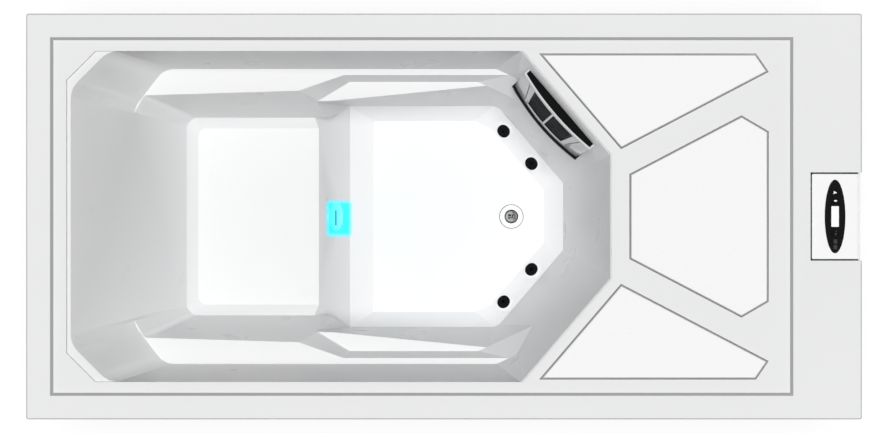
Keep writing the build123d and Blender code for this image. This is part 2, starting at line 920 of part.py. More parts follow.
def filter_canister():
    """The open-topped canister behind the wall, with its outlet below."""
    axis = Plane(origin=(canister_x, canister_y, canister_bottom))
    depth = canister_top - canister_bottom
    neck = depth - canister_neck
    body = disc(axis, canister_radius, 0, neck)
    body += disc(axis, hatch_radius + 10, neck, depth)
    body -= disc(axis, canister_radius - canister_wall, canister_wall, neck - canister_wall)
    body -= disc(axis, hatch_radius - canister_wall, neck - canister_wall - 2, depth + 1)
    body += ring(axis, pipe_radius + socket_wall, pipe_radius + clearance, -socket_depth, 1)
    body -= disc(axis, pipe_radius - pipe_wall, -socket_depth - 1, canister_wall + 1)
    body -= disc(axis, pipe_radius + clearance, -socket_depth - 1, -1)
    way_in = Pos(canister_place[0], duct_length + 10, mouth_z)
    window = way_in * Box(duct_end_width, 60, mouth_height - 2 * duct_wall)
    return body - duct_space(duct_wall + clearance, 60, duct_length + clearance) - in_skimmer(window)


def filter_cartridge():
    """The pleated cartridge with its end caps and its handle bar."""
    base = canister_bottom + canister_wall + clearance
    axis = Plane(origin=(canister_x, canister_y, base))
    points = []
    for i in range(2 * cartridge_pleats):
        radius = cartridge_radius - 2 if i % 2 == 0 else cartridge_radius - 2 - pleat_depth
        angle = pi * i / cartridge_pleats
        points.append((radius * cos(angle), radius * sin(angle)))
    fold = make_face(Polyline(*points, close=True))
    body = extrude(axis.offset(cartridge_cap - 2) * fold, cartridge_length - 2 * cartridge_cap + 4)
    body += disc(axis, cartridge_radius, 0, cartridge_cap)
    body += disc(axis, cartridge_radius, cartridge_length - cartridge_cap, cartridge_length)
    body -= disc(axis, cartridge_bore, -1, cartridge_length + 1)
    grip = axis.offset(cartridge_length - 1) * Rectangle(2 * cartridge_radius - 20, 9)
    return body + extrude(grip, 13)


def filter_lid():
    """The lid on the canister's neck, with a grip across it."""
    axis = Plane(origin=(canister_x, canister_y, canister_top))
    body = disc(axis, hatch_radius - lid_play, 0, lid_thickness)
    body += disc(axis, hatch_radius - canister_wall - lid_play, -lid_plug, 1)
    return body + extrude(axis.offset(lid_thickness - 1) * Rectangle(hatch_radius + 10, 10), lid_thickness)


# Jets, on the diagonal facet of the footwell cove


def jet_planes():
    """One plane for each jet, its z_dir square to the facet."""
    drop = floor_cove_z - floor_z
    distance = diagonal_distance(floor_cove_z) - floor_inset * (1 - jet_place)
    centre = distance_point(distance)
    slope = hypot(drop, floor_inset)
    planes = []
    for side in (1, -1):
        for shift in (jet_shift - jet_spacing / 2, jet_shift + jet_spacing / 2):
            x = centre[0] + along[0] * shift
            y = centre[1] + along[1] * shift
            normal = (-out[0] * drop / slope, -side * out[1] * drop / slope, floor_inset / slope)
            x_dir = (along[0], side * along[1], 0)
            place = (x, side * y, floor_z + drop * jet_place)
            planes.append(Plane(origin=place, x_dir=x_dir, z_dir=normal))
    return planes


def distance_point(distance):
    """The point of the diagonal at that distance that lies square to the wall's middle."""
    at = diagonal_middle[0] * along[0] + diagonal_middle[1] * along[1]
    return (out[0] * distance + along[0] * at, out[1] * distance + along[1] * at)


manifold_x = foot_x - manifold_gap


def jet_tail_start(plane):
    """Where a jet's tail leaves the bottom of its barrel."""
    point = plane.origin - plane.z_dir * jet_depth
    return (point.X, point.Y, point.Z)


def jet_body(plane):
    """The flanged barrel of a jet with its side tail."""
    body = disc(plane, jet_flange_radius, 0, flange_thickness)
    body += disc(plane, jet_barrel_radius, -jet_barrel_depth, 1)
    body -= disc(plane, jet_seat_radius, -jet_seat_depth, flange_thickness + 1)
    x, y, z = jet_tail_start(plane)
    end = (x + jet_tail_length, y, z)
    body += rod((x, y, z), end, jet_tail_radius)
    body -= rod((x - 2, y, z), (end[0] + 1, y, z), jet_tail_bore)
    return body - disc(plane, jet_throat_radius, -jet_depth, 0)


def jet_nut(plane):
    """The nut that clamps a jet behind the wall."""
    slope = hypot(floor_cove_z - floor_z, floor_inset)
    wall = acrylic * (floor_cove_z - floor_z + floor_inset) / slope
    thickness = nut_thickness - 2
    hexagon = RegularPolygon(jet_nut_radius, 6) - Circle(jet_barrel_radius + nut_play)
    nut = extrude(plane.offset(-wall - thickness - 2 * nut_play) * hexagon, thickness)
    x, y, z = jet_tail_start(plane)
    return nut - rod((x, y, z), (x + jet_tail_length, y, z), jet_tail_radius + clearance)


def jet_face(plane):
    """The round black face that turns to set the flow, with its stem."""
    top = flange_thickness + jet_face_rise
    body = disc(plane, jet_face_radius, flange_thickness + clearance, top)
    body += disc(plane, jet_seat_radius - clearance, 3 - jet_seat_depth, flange_thickness + 1)
    return body - disc(plane, jet_throat_radius - 0.5, 2 - jet_seat_depth, top + 1)


# Drain

drain_x = end_wall_x(floor_cove_z) - floor_inset - drain_gap
drain_plane = Plane(origin=(drain_x, 0, floor_z))


def drain_flange():
    """The white flange with its barrel, cross and side outlet."""
    body = disc(drain_plane, drain_flange_radius, 0, flange_thickness)
    body = chamfer(body.edges().sort_by(Axis.Z)[-1], flange_thickness / 2)
    depth = floor_z - drain_pipe_z
    body += disc(drain_plane, drain_barrel_radius, -depth - drain_pipe_radius - 6, 1)
    body -= disc(drain_plane, stopper_radius + 3, -depth, flange_thickness + 1)
    span = 2 * drain_barrel_radius - 6
    cross = Rectangle(span, cross_width) + Rectangle(cross_width, span) + Circle(stem_radius + 4)
    cross -= Circle(stem_radius + running_gap)
    body += extrude(drain_plane.offset(-cross_depth) * cross, cross_height)
    end = drain_x + 60
    body += rod((drain_x + 20, 0, drain_pipe_z), (end, 0, drain_pipe_z), drain_pipe_radius + 4)
    return body - rod((drain_x, 0, drain_pipe_z), (end + 1, 0, drain_pipe_z), drain_pipe_radius + clearance)


def drain_stopper():
    """The plated stopper on its stem, down at rest."""
    head = dome(drain_plane, stopper_radius, flange_thickness / 2, 2 * flange_thickness, flange_thickness)
    return head + disc(drain_plane, stem_radius, -stem_length, 2)


def drain_nut():
    """The nut that clamps the drain under the floor."""
    hexagon = RegularPolygon(drain_nut_radius, 6) - Circle(drain_barrel_radius + nut_play)
    return extrude(drain_plane.offset(-acrylic - nut_thickness - 2 * nut_play) * hexagon, nut_thickness)


# Light in the riser under the seat

riser_depth = riser_run + riser_setback
riser_height = seat_cove_z - floor_cove_z
riser_slope = hypot(riser_depth, riser_height)
light_x = riser_foot_x - (light_z - floor_cove_z) * riser_depth / riser_height
light_normal = (riser_height / riser_slope, 0, riser_depth / riser_slope)
light_plane = Plane(origin=(light_x, 0, light_z), x_dir=(0, 1, 0), z_dir=light_normal)


def light_lens():
    """The clear domed lens with its prism ring."""
    low = flange_thickness + clearance
    return dome(light_plane, light_radius - flange_thickness, low, light_rise, light_crown)


def light_housing():
    """The flanged pot behind the lens."""
    rim = light_radius + flange_thickness
    body = disc(light_plane, rim, 0, flange_thickness)
    body += ring(light_plane, rim, light_radius - flange_thickness + clearance, 2, 2 * flange_thickness)
    body += disc(light_plane, light_barrel_radius, -light_depth, 1)
    bore = light_barrel_radius - light_wall
    body -= disc(light_plane, bore, light_wall - light_depth, flange_thickness + 1)
    return body + disc(light_plane, light_socket_radius, -light_depth - 14, 2 - light_depth)


def light_nut():
    """The nut that clamps the light pot behind the riser."""
    wall = acrylic * (riser_depth + riser_height) / riser_slope
    hexagon = RegularPolygon(light_nut_radius, 6) - Circle(light_barrel_radius + nut_play)
    return extrude(light_plane.offset(-wall - nut_thickness - 2 * nut_play) * hexagon, nut_thickness)


# Pump, filter pipes, heater and manifold

pump_x = foot_x + pump_gap
discharge_offset = pipe_radius + discharge_wall
wet_length = 2 * discharge_offset
pump_y = canister_y
pump_face = Plane(origin=(pump_x, pump_y, pump_z), x_dir=(0, 1, 0), z_dir=(1, 0, 0))


def pump_wet_end():
    """The volute with its suction and discharge sockets, hollow round the impeller."""
    low = (heater_x, pump_y, pump_z + 40)
    seat = (heater_x, pump_y, pump_z + discharge_height - 26)
    top = (heater_x, pump_y, pump_z + discharge_height)
    past = (heater_x, pump_y, pump_z + discharge_height + 1)
    body = disc(pump_face, wet_radius, 0, wet_length)
    body = chamfer(body.edges().filter_by(GeomType.CIRCLE), wet_wall - 2)
    body += disc(pump_face, pipe_radius + 10, -union_length, 4)
    body += rod(low, top, pipe_radius + 8)
    body -= disc(pump_face, impeller_radius + 6, wet_wall, wet_length - wet_wall + 1)
    body -= disc(pump_face, pipe_bore, -union_length - 1, wet_wall + 4)
    body -= disc(pump_face, pipe_socket, -union_length - 1, -8)
    body -= disc(pump_face, shaft_radius + 1, wet_length - wet_wall, wet_length + 4)
    body -= rod(low, past, pipe_bore)
    return body - rod(seat, past, pipe_socket)


def pump_motor():
    """The finned motor behind the wet end."""
    face = pump_face.offset(wet_length)
    section = Circle(motor_radius - 8)
    for i in range(motor_fins):
        section += Rot(0, 0, 360 * i / motor_fins) * Pos(motor_radius - 6, 0) * Rectangle(12, 4)
    body = extrude(face.offset(14) * section, motor_length - 50)
    body += disc(face, motor_radius, 0, 16) + disc(face, motor_radius + 2, motor_length - 40, motor_length)
    body -= disc(face, shaft_radius + running_gap, -1, shaft_depth + 5)
    low = pump_z + motor_radius - 12
    return body + block(pump_x + 100, pump_x + 200, pump_y - 40, pump_y + 40, low, low + 46)


def pump_impeller():
    """The vaned impeller with its shaft in the motor."""
    disc_low = wet_length - wet_wall - 16
    vane_height = disc_low - 2 * wet_wall
    body = disc(pump_face, impeller_radius, disc_low, disc_low + 5)
    body += disc(pump_face, 15, 2 * wet_wall - 2, disc_low + 1)
    for i in range(impeller_vanes):
        vane = Rot(0, 0, 360 * i / impeller_vanes) * Pos(30, 6) * Rot(0, 0, 25) * Rectangle(36, 4)
        body += extrude(pump_face.offset(2 * wet_wall) * vane, vane_height + 1)
    return body + disc(pump_face, shaft_radius, disc_low + 4, wet_length + shaft_depth)


def pump_base():
    """The moulded cradle that carries the pump on the base pan."""
    x0 = pump_x + 84
    x1 = x0 + cradle_length
    saddle = block(x0, x1, pump_y - 70, pump_y + 70, base_thickness, pump_z - 30)
    body = saddle - rod((x0 - 1, pump_y, pump_z), (x1 + 1, pump_y, pump_z), motor_radius + clearance)
    for x in (x0 + cradle_length / 5, x0 + 3 * cradle_length / 5):
        body -= block(x, x + 30, pump_y - 71, pump_y + 71, base_thickness + 12, pump_z - motor_radius - 20)
    return body


def suction_pipe():
    """From the canister down and along to the pump."""
    points = [
        (canister_x, canister_y, canister_bottom - 4),
        (canister_x, canister_y, pump_z),
        (pump_x - 10, pump_y, pump_z),
    ]
    return pipe(points, [suction_bend], pipe_radius, pipe_bore)


heater_x = pump_x + discharge_offset
pipe_bore = pipe_radius - pipe_wall
pipe_socket = pipe_radius + clearance


def discharge_pipe():
    """From the pump up and across to the heater."""
    points = [
        (heater_x, pump_y, pump_z + discharge_height - 24),
        (heater_x, pump_y, heater_z),
        (heater_x, pack_y1 + 10, heater_z),
    ]
    return pipe(points, [pipe_bend], pipe_radius, pipe_bore)


def return_pipe():
    """From the heater across, down and back to the manifold."""
    points = [
        (heater_x, pack_y0 - 10, heater_z),
        (heater_x, heater_foot_y, heater_z),
        (heater_x, heater_foot_y, manifold_z),
        (manifold_x + manifold_radius + 18, heater_foot_y, manifold_z),
    ]
    return pipe(points, [pipe_bend, pipe_bend], pipe_radius, pipe_bore)


def heater_tube():
    """The steel heater tube with its unions and a terminal block."""
    bore = heater_radius - heater_wall
    body = tube((heater_x, pack_y0 + 20, heater_z), (heater_x, pack_y1 - 20, heater_z), heater_radius, bore)
    for y in (pack_y0 + 2, pack_y1 - 34):
        body += tube((heater_x, y, heater_z), (heater_x, y + 32, heater_z), union_radius + 2, bore)
    top = heater_z + pack_lift
    return body + block(heater_x - 20, heater_x + 20, 40, 140, heater_z + heater_radius - 1, top)


def heater_unions():
    """The two unions between the heater and its pipes."""
    unions = []
    for start, end in ((pack_y0 - union_length, pack_y0 + 2), (pack_y1 - 2, pack_y1 + union_length)):
        unions.append(tube((heater_x, start, heater_z), (heater_x, end, heater_z), union_radius, pipe_socket))
    return unions


def control_pack():
    """The control box over the heater, with a lid line and a domed cover."""
    x0 = heater_x - pack_half
    x1 = heater_x + pack_half
    low = heater_z + pack_lift
    seam = low + 0.7 * pack_height
    body = block(x0, x1, pack_y0 + 10, pack_y1 - 10, low, low + pack_height)
    body = fillet(body.edges().filter_by(Axis.Z), 14)
    body = chamfer(body.faces().sort_by(Axis.Z)[-1].edges(), 6)
    groove = block(x0 - 1, x1 + 1, pack_y0, pack_y1, seam, seam + 3)
    core = block(x0 + 3, x1 - 3, pack_y0 + 13, pack_y1 - 13, seam - 1, seam + 4)
    return body - (groove - core)


def pack_stand():
    """Two folded steel legs that carry the control box on the base pan."""
    legs = []
    for y in (pack_y0 + 26, pack_y1 - 46):
        half = pack_half - 4
        leg = block(heater_x - half, heater_x + half, y, y + 20, base_thickness, heater_z + pack_lift)
        inner = half - leg_steel
        low = base_thickness + leg_steel
        leg -= block(heater_x - inner, heater_x + inner, y - 1, y + 21, low, heater_z + pack_lift - leg_steel)
        legs.append(leg)
    return legs


first_jet_plane = jet_planes()[0]
manifold_z = jet_tail_start(first_jet_plane)[2]


def manifold():
    """The cross tube that feeds the jets, with four spigots and one inlet."""
    ends = sorted(jet_tail_start(plane)[1] for plane in jet_planes())
    y0 = ends[0] - 40
    y1 = ends[-1] + 40
    body = rod((manifold_x, y0, manifold_z), (manifold_x, y1, manifold_z), manifold_radius)
    inlet = (manifold_x + manifold_radius + 40, heater_foot_y, manifold_z)
    body += rod((manifold_x, heater_foot_y, manifold_z), inlet, pipe_radius + socket_wall)
    for y in ends:
        body += rod((manifold_x, y, manifold_z), (manifold_x - 45, y, manifold_z), jet_tail_radius)
    bore = manifold_radius - manifold_wall
    start = (manifold_x, y0 + manifold_wall, manifold_z)
    body -= rod(start, (manifold_x, y1 - manifold_wall, manifold_z), bore)
    for y in ends:
        body -= rod((manifold_x, y, manifold_z), (manifold_x - 46, y, manifold_z), jet_tail_bore)
    body -= rod((manifold_x, heater_foot_y, manifold_z), inlet, bore)
    seat_start = (manifold_x + manifold_radius + 16, heater_foot_y, manifold_z)
    return body - rod(seat_start, inlet, pipe_socket)


def jet_hoses():
    """The short hoses between each jet tail and the manifold."""
    hoses = []
    for plane in jet_planes():
        x, y, z = jet_tail_start(plane)
        hoses.append(tube((x + 36, y, z), (manifold_x - 24, y, z), hose_radius, jet_tail_radius + nut_play))
    return hoses


# Gate valves on the two upright pipes

def valve_places():
    """The axes of the two upright pipes."""
    return [(canister_x, canister_y), (heater_x, pump_y)]


def valve_bodies():
    """Two sleeves with a bonnet towards the foot end."""
    bodies = []
    for x, y in valve_places():
        low = (x, y, valve_z - valve_half)
        sleeve = tube(low, (x, y, valve_z + valve_half), pipe_radius + 8, pipe_socket)
        sleeve += block(x + pipe_radius + 4, x + pipe_radius + 34, y - 9, y + 9, valve_z - 16, valve_z + 16)
        start = (x + pipe_radius + 8, y, valve_z)
        bodies.append(sleeve - rod(start, (x + 100, y, valve_z), valve_stem_radius + running_gap))
    return bodies


def valve_handle(x, y):
    """The stem and T grip that pulls out to close the valve."""
    start = (x + pipe_radius + 8.5, y, valve_z)
    body = rod(start, (x + pipe_radius + 44, y, valve_z), valve_stem_radius)
    grip = block(x + pipe_radius + 40, x + pipe_radius + 52, y - 24, y + 24, valve_z - 6, valve_z + 6)
    return body + chamfer(grip.edges(), 3)


# Drain line to the foot of the cabinet

panel_x = half_length - panel_inset
panel_y = half_width - panel_inset
drain_valve_x = panel_x - 100


def drain_pipe():
    """The straight pipe from the drain to its valve."""
    start = (drain_x + 30, 0, drain_pipe_z)
    end = (drain_valve_x + 14, 0, drain_pipe_z)
    return tube(start, end, drain_pipe_radius, drain_pipe_radius - drain_pipe_wall)


def drain_valve():
    """The ball valve with its threaded spigot through the foot panel."""
    x = drain_valve_x
    body = rod((x, 0, drain_pipe_z), (x + 60, 0, drain_pipe_z), drain_pipe_radius + 6)
    body += rod((x + 59, 0, drain_pipe_z), (panel_x + 18, 0, drain_pipe_z), spigot_radius)
    body += rod((x + 34, 0, drain_pipe_z + 10), (x + 34, 0, drain_pipe_z + 32), 9)
    body -= rod((x - 1, 0, drain_pipe_z), (panel_x + 19, 0, drain_pipe_z), 10)
    body -= rod((x - 1, 0, drain_pipe_z), (x + 20, 0, drain_pipe_z), drain_pipe_radius + clearance)
    seat_foot = (x + 34, 0, drain_pipe_z + 18)
    seat_top = (x + 34, 0, drain_pipe_z + 33)
    seat = rod(seat_foot, seat_top, valve_stem_radius + running_gap)
    return body - seat


def drain_lever():
    """The quarter-turn lever, along the pipe when the valve is open."""
    x = drain_valve_x + 34
    low = drain_pipe_z + 32 + clearance
    body = rod((x, 0, low - 12), (x, 0, low + 6), valve_stem_radius)
    arm = block(x - 70, x + 10, -8, 8, low, low + 6)
    return body + fillet(arm.edges().filter_by(Axis.Z), 6)


def supply_gland():
    """The cable gland in the foot panel, with an open bore for the supply cable."""
    face = Plane(origin=(panel_x, gland_y, gland_z), x_dir=(0, 1, 0), z_dir=(1, 0, 0))
    hexagon = RegularPolygon(gland_hexagon, 6)
    body = disc(face, gland_radius, -panel_thickness - 14, 2)
    body += extrude(face * hexagon, 8) + disc(face, gland_radius + 1, 7, 18)
    body += extrude(face.offset(-panel_thickness - 8) * hexagon, 8 - clearance)
    return body - disc(face, gland_bore, -60, 60)


# Cabinet and frame


def base_pan():
    """The moulded pan with a low upstand inside the panels."""
    x = panel_x - clearance
    y = panel_y - clearance
    body = Pos(0, 0, base_thickness / 2) * Box(2 * panel_x, 2 * panel_y, base_thickness)
    body = fillet(body.edges().filter_by(Axis.Z), corner_radius)
    inset = panel_thickness + 1
    high = base_thickness + upstand_height
    wall = block(-x + inset, x - inset, -y + inset, y - inset, base_thickness - 1, high)
    hollow = block(-x + inset + 4, x - inset - 4, -y + inset + 4, y - inset - 4, 0, rim_height)
    body += wall - hollow
    return body - drain_passages()


def drain_passages():
    """The holes for the drain spigot and the supply gland in the foot panel and the upstand."""
    hole = rod((panel_x - 60, 0, drain_pipe_z), (panel_x + 5, 0, drain_pipe_z), spigot_radius + 2.8)
    start = (panel_x - 60, gland_y, gland_z)
    return hole + rod(start, (panel_x + 5, gland_y, gland_z), gland_radius + clearance)


panel_low = base_thickness
panel_high = rim_height - panel_top_gap
frame_x = panel_x - panel_thickness
frame_y = panel_y - panel_thickness


def grooves_along_x(length, face_y):
    """Horizontal grooves that part a side panel into planks."""
    cuts = []
    for i in range(1, int((panel_high - panel_low) / groove_pitch) + 1):
        z = panel_low + i * groove_pitch
        cuts.append(Pos(0, face_y, z) * Rot(45, 0, 0) * Box(length, groove_width, groove_width))
    return cuts


def grooves_along_y(length, face_x):
    """The same grooves on an end panel."""
    cuts = []
    for i in range(1, int((panel_high - panel_low) / groove_pitch) + 1):
        z = panel_low + i * groove_pitch
        cuts.append(Pos(face_x, 0, z) * Rot(0, 45, 0) * Box(groove_width, length, groove_width))
    return cuts


def side_panel(side):
    """A long panel of horizontal planks."""
    half = panel_x - post_width - 1
    y0, y1 = sorted((side * panel_y, side * frame_y))
    body = block(-half, half, y0, y1, panel_low, panel_high)
    for cut in grooves_along_x(2 * half + 2, side * panel_y):
        body -= cut
    return body


def head_panel():
    """The panel at the bather's head."""
    half = panel_y - post_width - 1
    body = block(-panel_x, -frame_x, -half, half, panel_low, panel_high)
    for cut in grooves_along_y(2 * half + 2, -panel_x):
        body -= cut
    return body


def access_panel():
    """The foot panel, held by four screws, with a louvred vent opening."""
    half = panel_y - post_width - 1
    body = block(frame_x, panel_x, -half, half, panel_low, panel_high)
    for cut in grooves_along_y(2 * half + 2, panel_x):
        body -= cut
    body -= block(frame_x - 1, panel_x + 1, vent_y - vent_half, vent_y + vent_half, vent_z0, vent_z1)
    tray_half = notch_half + acrylic + 2
    body -= block(frame_x - 1, panel_x + 1, -tray_half, tray_half, tray_z - acrylic - 2, panel_high + 1)
    for y, z in screw_places():
        body -= rod((frame_x - 1, y, z), (panel_x + 1, y, z), screw_radius + clearance)
    return body - drain_passages()


def vent_grille():
    """The louvred grille that airs the equipment bay."""
    body = block(
        frame_x + 1, panel_x + 2, vent_y - vent_half + clearance, vent_y + vent_half - clearance,
        vent_z0 + clearance, vent_z1 - clearance
    )
    body -= block(
        frame_x, panel_x + 3, vent_y - vent_half + vent_border, vent_y + vent_half - vent_border,
        vent_z0 + vent_border, vent_z1 - vent_border
    )
    pitch = (vent_z1 - vent_z0 - 2 * vent_border) / vent_slats
    slat = Box(2.5, 2 * (vent_half - vent_border) + 1, pitch)
    for i in range(vent_slats):
        z = vent_z0 + vent_border + (i + 0.5) * pitch
        body += Pos(panel_x - 5, vent_y, z) * Rot(0, 35, 0) * slat
    return body


def screw_places():
    """The four corners where screws hold the access panel."""
    y = panel_y - post_width - 18
    return [(y, panel_low + 48), (y, panel_high - 60), (-y, panel_low + 48), (-y, panel_high - 60)]


def panel_screws():
    """Four dome-headed screws."""
    screws = []
    for y, z in screw_places():
        head = Plane(origin=(panel_x, y, z), x_dir=(0, 1, 0), z_dir=(1, 0, 0))
        screw = disc(head, screw_head_radius, 0, screw_head_height)
        screw = chamfer(screw.edges().sort_by(Axis.X)[-1], screw_head_height / 2)
        screws.append(screw + disc(head, screw_radius, -panel_thickness - 12, 1))
    return screws


def corner_post(sx, sy):
    """A rounded corner trim that closes two panels."""
    x0, x1 = sorted((sx * (panel_x - post_width), sx * panel_x))
    y0, y1 = sorted((sy * (panel_y - post_width), sy * panel_y))
    body = block(x0, x1, y0, y1, panel_low, panel_high)
    corner = body.edges().filter_by(Axis.Z).sort_by(lambda e: sx * e.center().X + sy * e.center().Y)[-1]
    body = fillet(corner, corner_radius)
    x2, x3 = sorted((sx * (panel_x - post_width - 1), sx * frame_x))
    y2, y3 = sorted((sy * (panel_y - post_width - 1), sy * frame_y))
    return body - block(x2, x3, y2, y3, panel_low - 1, panel_high + 1)


def screw_clearances():
    """Pilot holes for the access panel's screws."""
    radius = screw_radius + running_gap
    return [rod((frame_x - 40, y, z), (frame_x + 1, y, z), radius) for y, z in screw_places()]


rail_low = base_thickness
top_rail_z = rim_height - acrylic - rail_height


def bottom_rails():
    """Four timber rails on the base pan, inside its upstand."""
    x = frame_x - 8
    y = frame_y - 8
    low = rail_low
    high = low + foot_rail_height
    rails = [block(-x, x, y - rail_thickness, y, low, high), block(-x, x, -y, rail_thickness - y, low, high)]
    rails.append(block(-x, rail_thickness - x, rail_thickness - y, y - rail_thickness, low, high))
    foot = block(x - rail_thickness, x, rail_thickness - y, y - rail_thickness, low, high)
    rails.append(foot - block(x - 60, x + 1, -24, 24, drain_pipe_z - 24, high + 1))
    return rails


def top_rails():
    """Four timber rails under the rim; the foot rail is parted by the control tray."""
    x = frame_x - 1
    y = frame_y - 1
    low = top_rail_z
    high = rim_height - acrylic
    rails = [block(-x, x, y - rail_thickness, y, low, high), block(-x, x, -y, rail_thickness - y, low, high)]
    rails.append(block(-x, rail_thickness - x, rail_thickness - y, y - rail_thickness, low, high))
    gap = notch_half + acrylic + 2
    rails.append(block(x - rail_thickness, x, gap, y - rail_thickness, low, high))
    rails.append(block(x - rail_thickness, x, rail_thickness - y, -gap, low, high))
    return rails


def frame_posts():
    """Upright timbers between the bottom and the top rails."""
    low = rail_low + foot_rail_height
    high = top_rail_z
    x = frame_x - 8
    y = frame_y - 8
    posts = []
    for px in (-x, -x * 0.34, x * 0.34, x - frame_post_width):
        posts.append(block(px, px + frame_post_width, y - rail_thickness, y, low, high))
        posts.append(block(px, px + frame_post_width, -y, rail_thickness - y, low, high))
    return [post - screw_clearances() for post in posts]


def shell_bearers():
    """Cross bearers under the seat and under the footwell floor, on the base pan."""
    bearers = []
    for x in (seat_head_x + 60, seat_front_x - 100):
        half = seat_half - 30
        inner = half - 45
        trestle = block(x, x + bearer_width, -half, half, base_thickness, seat_z - acrylic)
        low = base_thickness + foot_rail_height
        trestle -= block(x - 1, x + bearer_width + 1, -inner, inner, low, seat_z - acrylic - 60)
        bearers.append(trestle)
    side = floor_half()[0][1]
    for x in (riser_foot_x + 110, drain_x - 187):
        bearers.append(block(x, x + 60, 30 - side, side - 30, base_thickness, floor_z - acrylic))
    return bearers


# Everything, by name


def nodes():
    """Every piece by its name."""
    side = side_pad_points()
    parts = {
        "shell": shell(),
        "filter_hatch_pad": pad(side),
        "deck_pad_middle": pad(middle_pad_points()),
        "deck_pad_right": pad(mirrored(side)),
        "control_insert": control_insert(),
        "insert_seal": insert_seal(),
        "keypad_housing": keypad_housing(),
        "keypad_display": keypad_display(),
        "skimmer_frame": skimmer_frame(),
        "skimmer_grilles": skimmer_grilles(),
        "skimmer_top_grille": skimmer_top_grille(),
        "skimmer_lip": skimmer_lip(),
        "skimmer_duct": skimmer_duct(),
        "weir_pin": weir_pin(),
        "weir_flap": weir_flap(),
        "filter_canister": filter_canister(),
        "filter_cartridge": filter_cartridge(),
        "filter_lid": filter_lid(),
        "jet_bodies": [jet_body(plane) for plane in jet_planes()],
        "clamp_nuts": [jet_nut(plane) for plane in jet_planes()] + [drain_nut(), light_nut()],
        "jet_hoses": jet_hoses(),
        "drain_flange": drain_flange(),
        "drain_stopper": drain_stopper(),
        "light_lens": light_lens(),
        "light_housing": light_housing(),
        "pump_wet_end": pump_wet_end(),
        "pump_motor": pump_motor(),
        "pump_impeller": pump_impeller(),
        "pump_base": pump_base(),
        "water_pipes": [suction_pipe(), discharge_pipe(), return_pipe(), drain_pipe()],
        "heater_tube": heater_tube(),
        "heater_unions": heater_unions(),
        "control_pack": control_pack(),
        "pack_stand": pack_stand(),
        "jet_manifold": manifold(),
        "gate_valves": valve_bodies(),
        "drain_valve": drain_valve(),
        "drain_lever": drain_lever(),
        "supply_gland": supply_gland(),
        "base_pan": base_pan(),
        "side_panels": [side_panel(1), side_panel(-1)],
        "head_panel": head_panel(),
        "access_panel": access_panel(),
        "vent_grille": vent_grille(),
        "panel_screws": panel_screws(),
        "corner_posts": [corner_post(sx, sy) for sx in (-1, 1) for sy in (-1, 1)],
        "frame_rails": bottom_rails() + top_rails(),
        "frame_posts": frame_posts(),
        "shell_bearers": shell_bearers(),
    }
    return parts


def main():
    """Writes one STEP file for each piece."""
    os.makedirs("parts", exist_ok=True)
    parts = nodes()
    for number, plane in enumerate(jet_planes(), start=1):
        parts[f"jet_face_{number}"] = jet_face(plane)
    for number, y in enumerate(button_places, start=1):
        parts[f"keypad_button_{number}"] = keypad_button(y)
    for name, place in zip(("suction_valve_handle", "heater_valve_handle"), valve_places()):
        parts[name] = valve_handle(*place)
    for name, shape in parts.items():
        solid = Compound(children=shape) if isinstance(shape, list) else shape
        export_step(solid, f"parts/{name}.step")


main()
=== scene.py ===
import json
import math

import bpy
from bpy.props import FloatProperty, FloatVectorProperty, IntProperty, PointerProperty
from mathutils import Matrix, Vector


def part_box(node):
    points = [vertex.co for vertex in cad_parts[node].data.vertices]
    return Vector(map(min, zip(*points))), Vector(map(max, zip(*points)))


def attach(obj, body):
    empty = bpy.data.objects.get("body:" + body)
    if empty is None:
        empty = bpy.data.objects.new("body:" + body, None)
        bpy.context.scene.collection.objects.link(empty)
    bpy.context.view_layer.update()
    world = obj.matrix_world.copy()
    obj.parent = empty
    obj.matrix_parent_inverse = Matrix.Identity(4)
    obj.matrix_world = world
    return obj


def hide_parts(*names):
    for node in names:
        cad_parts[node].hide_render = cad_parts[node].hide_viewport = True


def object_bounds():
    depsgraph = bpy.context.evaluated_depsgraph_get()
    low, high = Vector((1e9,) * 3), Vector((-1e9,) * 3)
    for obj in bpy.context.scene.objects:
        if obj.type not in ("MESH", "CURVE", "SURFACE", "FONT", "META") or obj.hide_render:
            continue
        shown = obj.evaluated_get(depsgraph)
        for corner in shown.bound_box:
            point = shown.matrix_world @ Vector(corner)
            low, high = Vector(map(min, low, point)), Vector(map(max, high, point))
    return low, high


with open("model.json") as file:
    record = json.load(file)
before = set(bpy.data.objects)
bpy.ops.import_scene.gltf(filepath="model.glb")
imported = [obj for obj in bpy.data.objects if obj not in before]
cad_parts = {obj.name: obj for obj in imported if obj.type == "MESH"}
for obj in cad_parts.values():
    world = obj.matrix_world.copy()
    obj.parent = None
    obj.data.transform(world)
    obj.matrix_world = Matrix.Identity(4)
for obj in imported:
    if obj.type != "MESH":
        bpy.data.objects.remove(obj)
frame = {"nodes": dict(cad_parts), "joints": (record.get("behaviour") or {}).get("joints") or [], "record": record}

bl_info = {
    "name": "Outdoor Spa Pool",
    "version": (1, 0, 0),
    "blender": (4, 5, 0),
    "location": "3D View > Sidebar > Spa Pool",
    "description": "Soft edges, fittings, finishes and studio of an outdoor spa pool",
    "category": "Object",
}

CAD_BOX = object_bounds()
NODES = frame["nodes"]
BODY_OF = {node: body for body, names in frame["record"]["behaviour"]["bodies"].items() for node in names}
SLOT_OF = {row["node"]: row["material_slot"] for row in frame["record"]["subparts"]}
RIM_Z = CAD_BOX[1].z

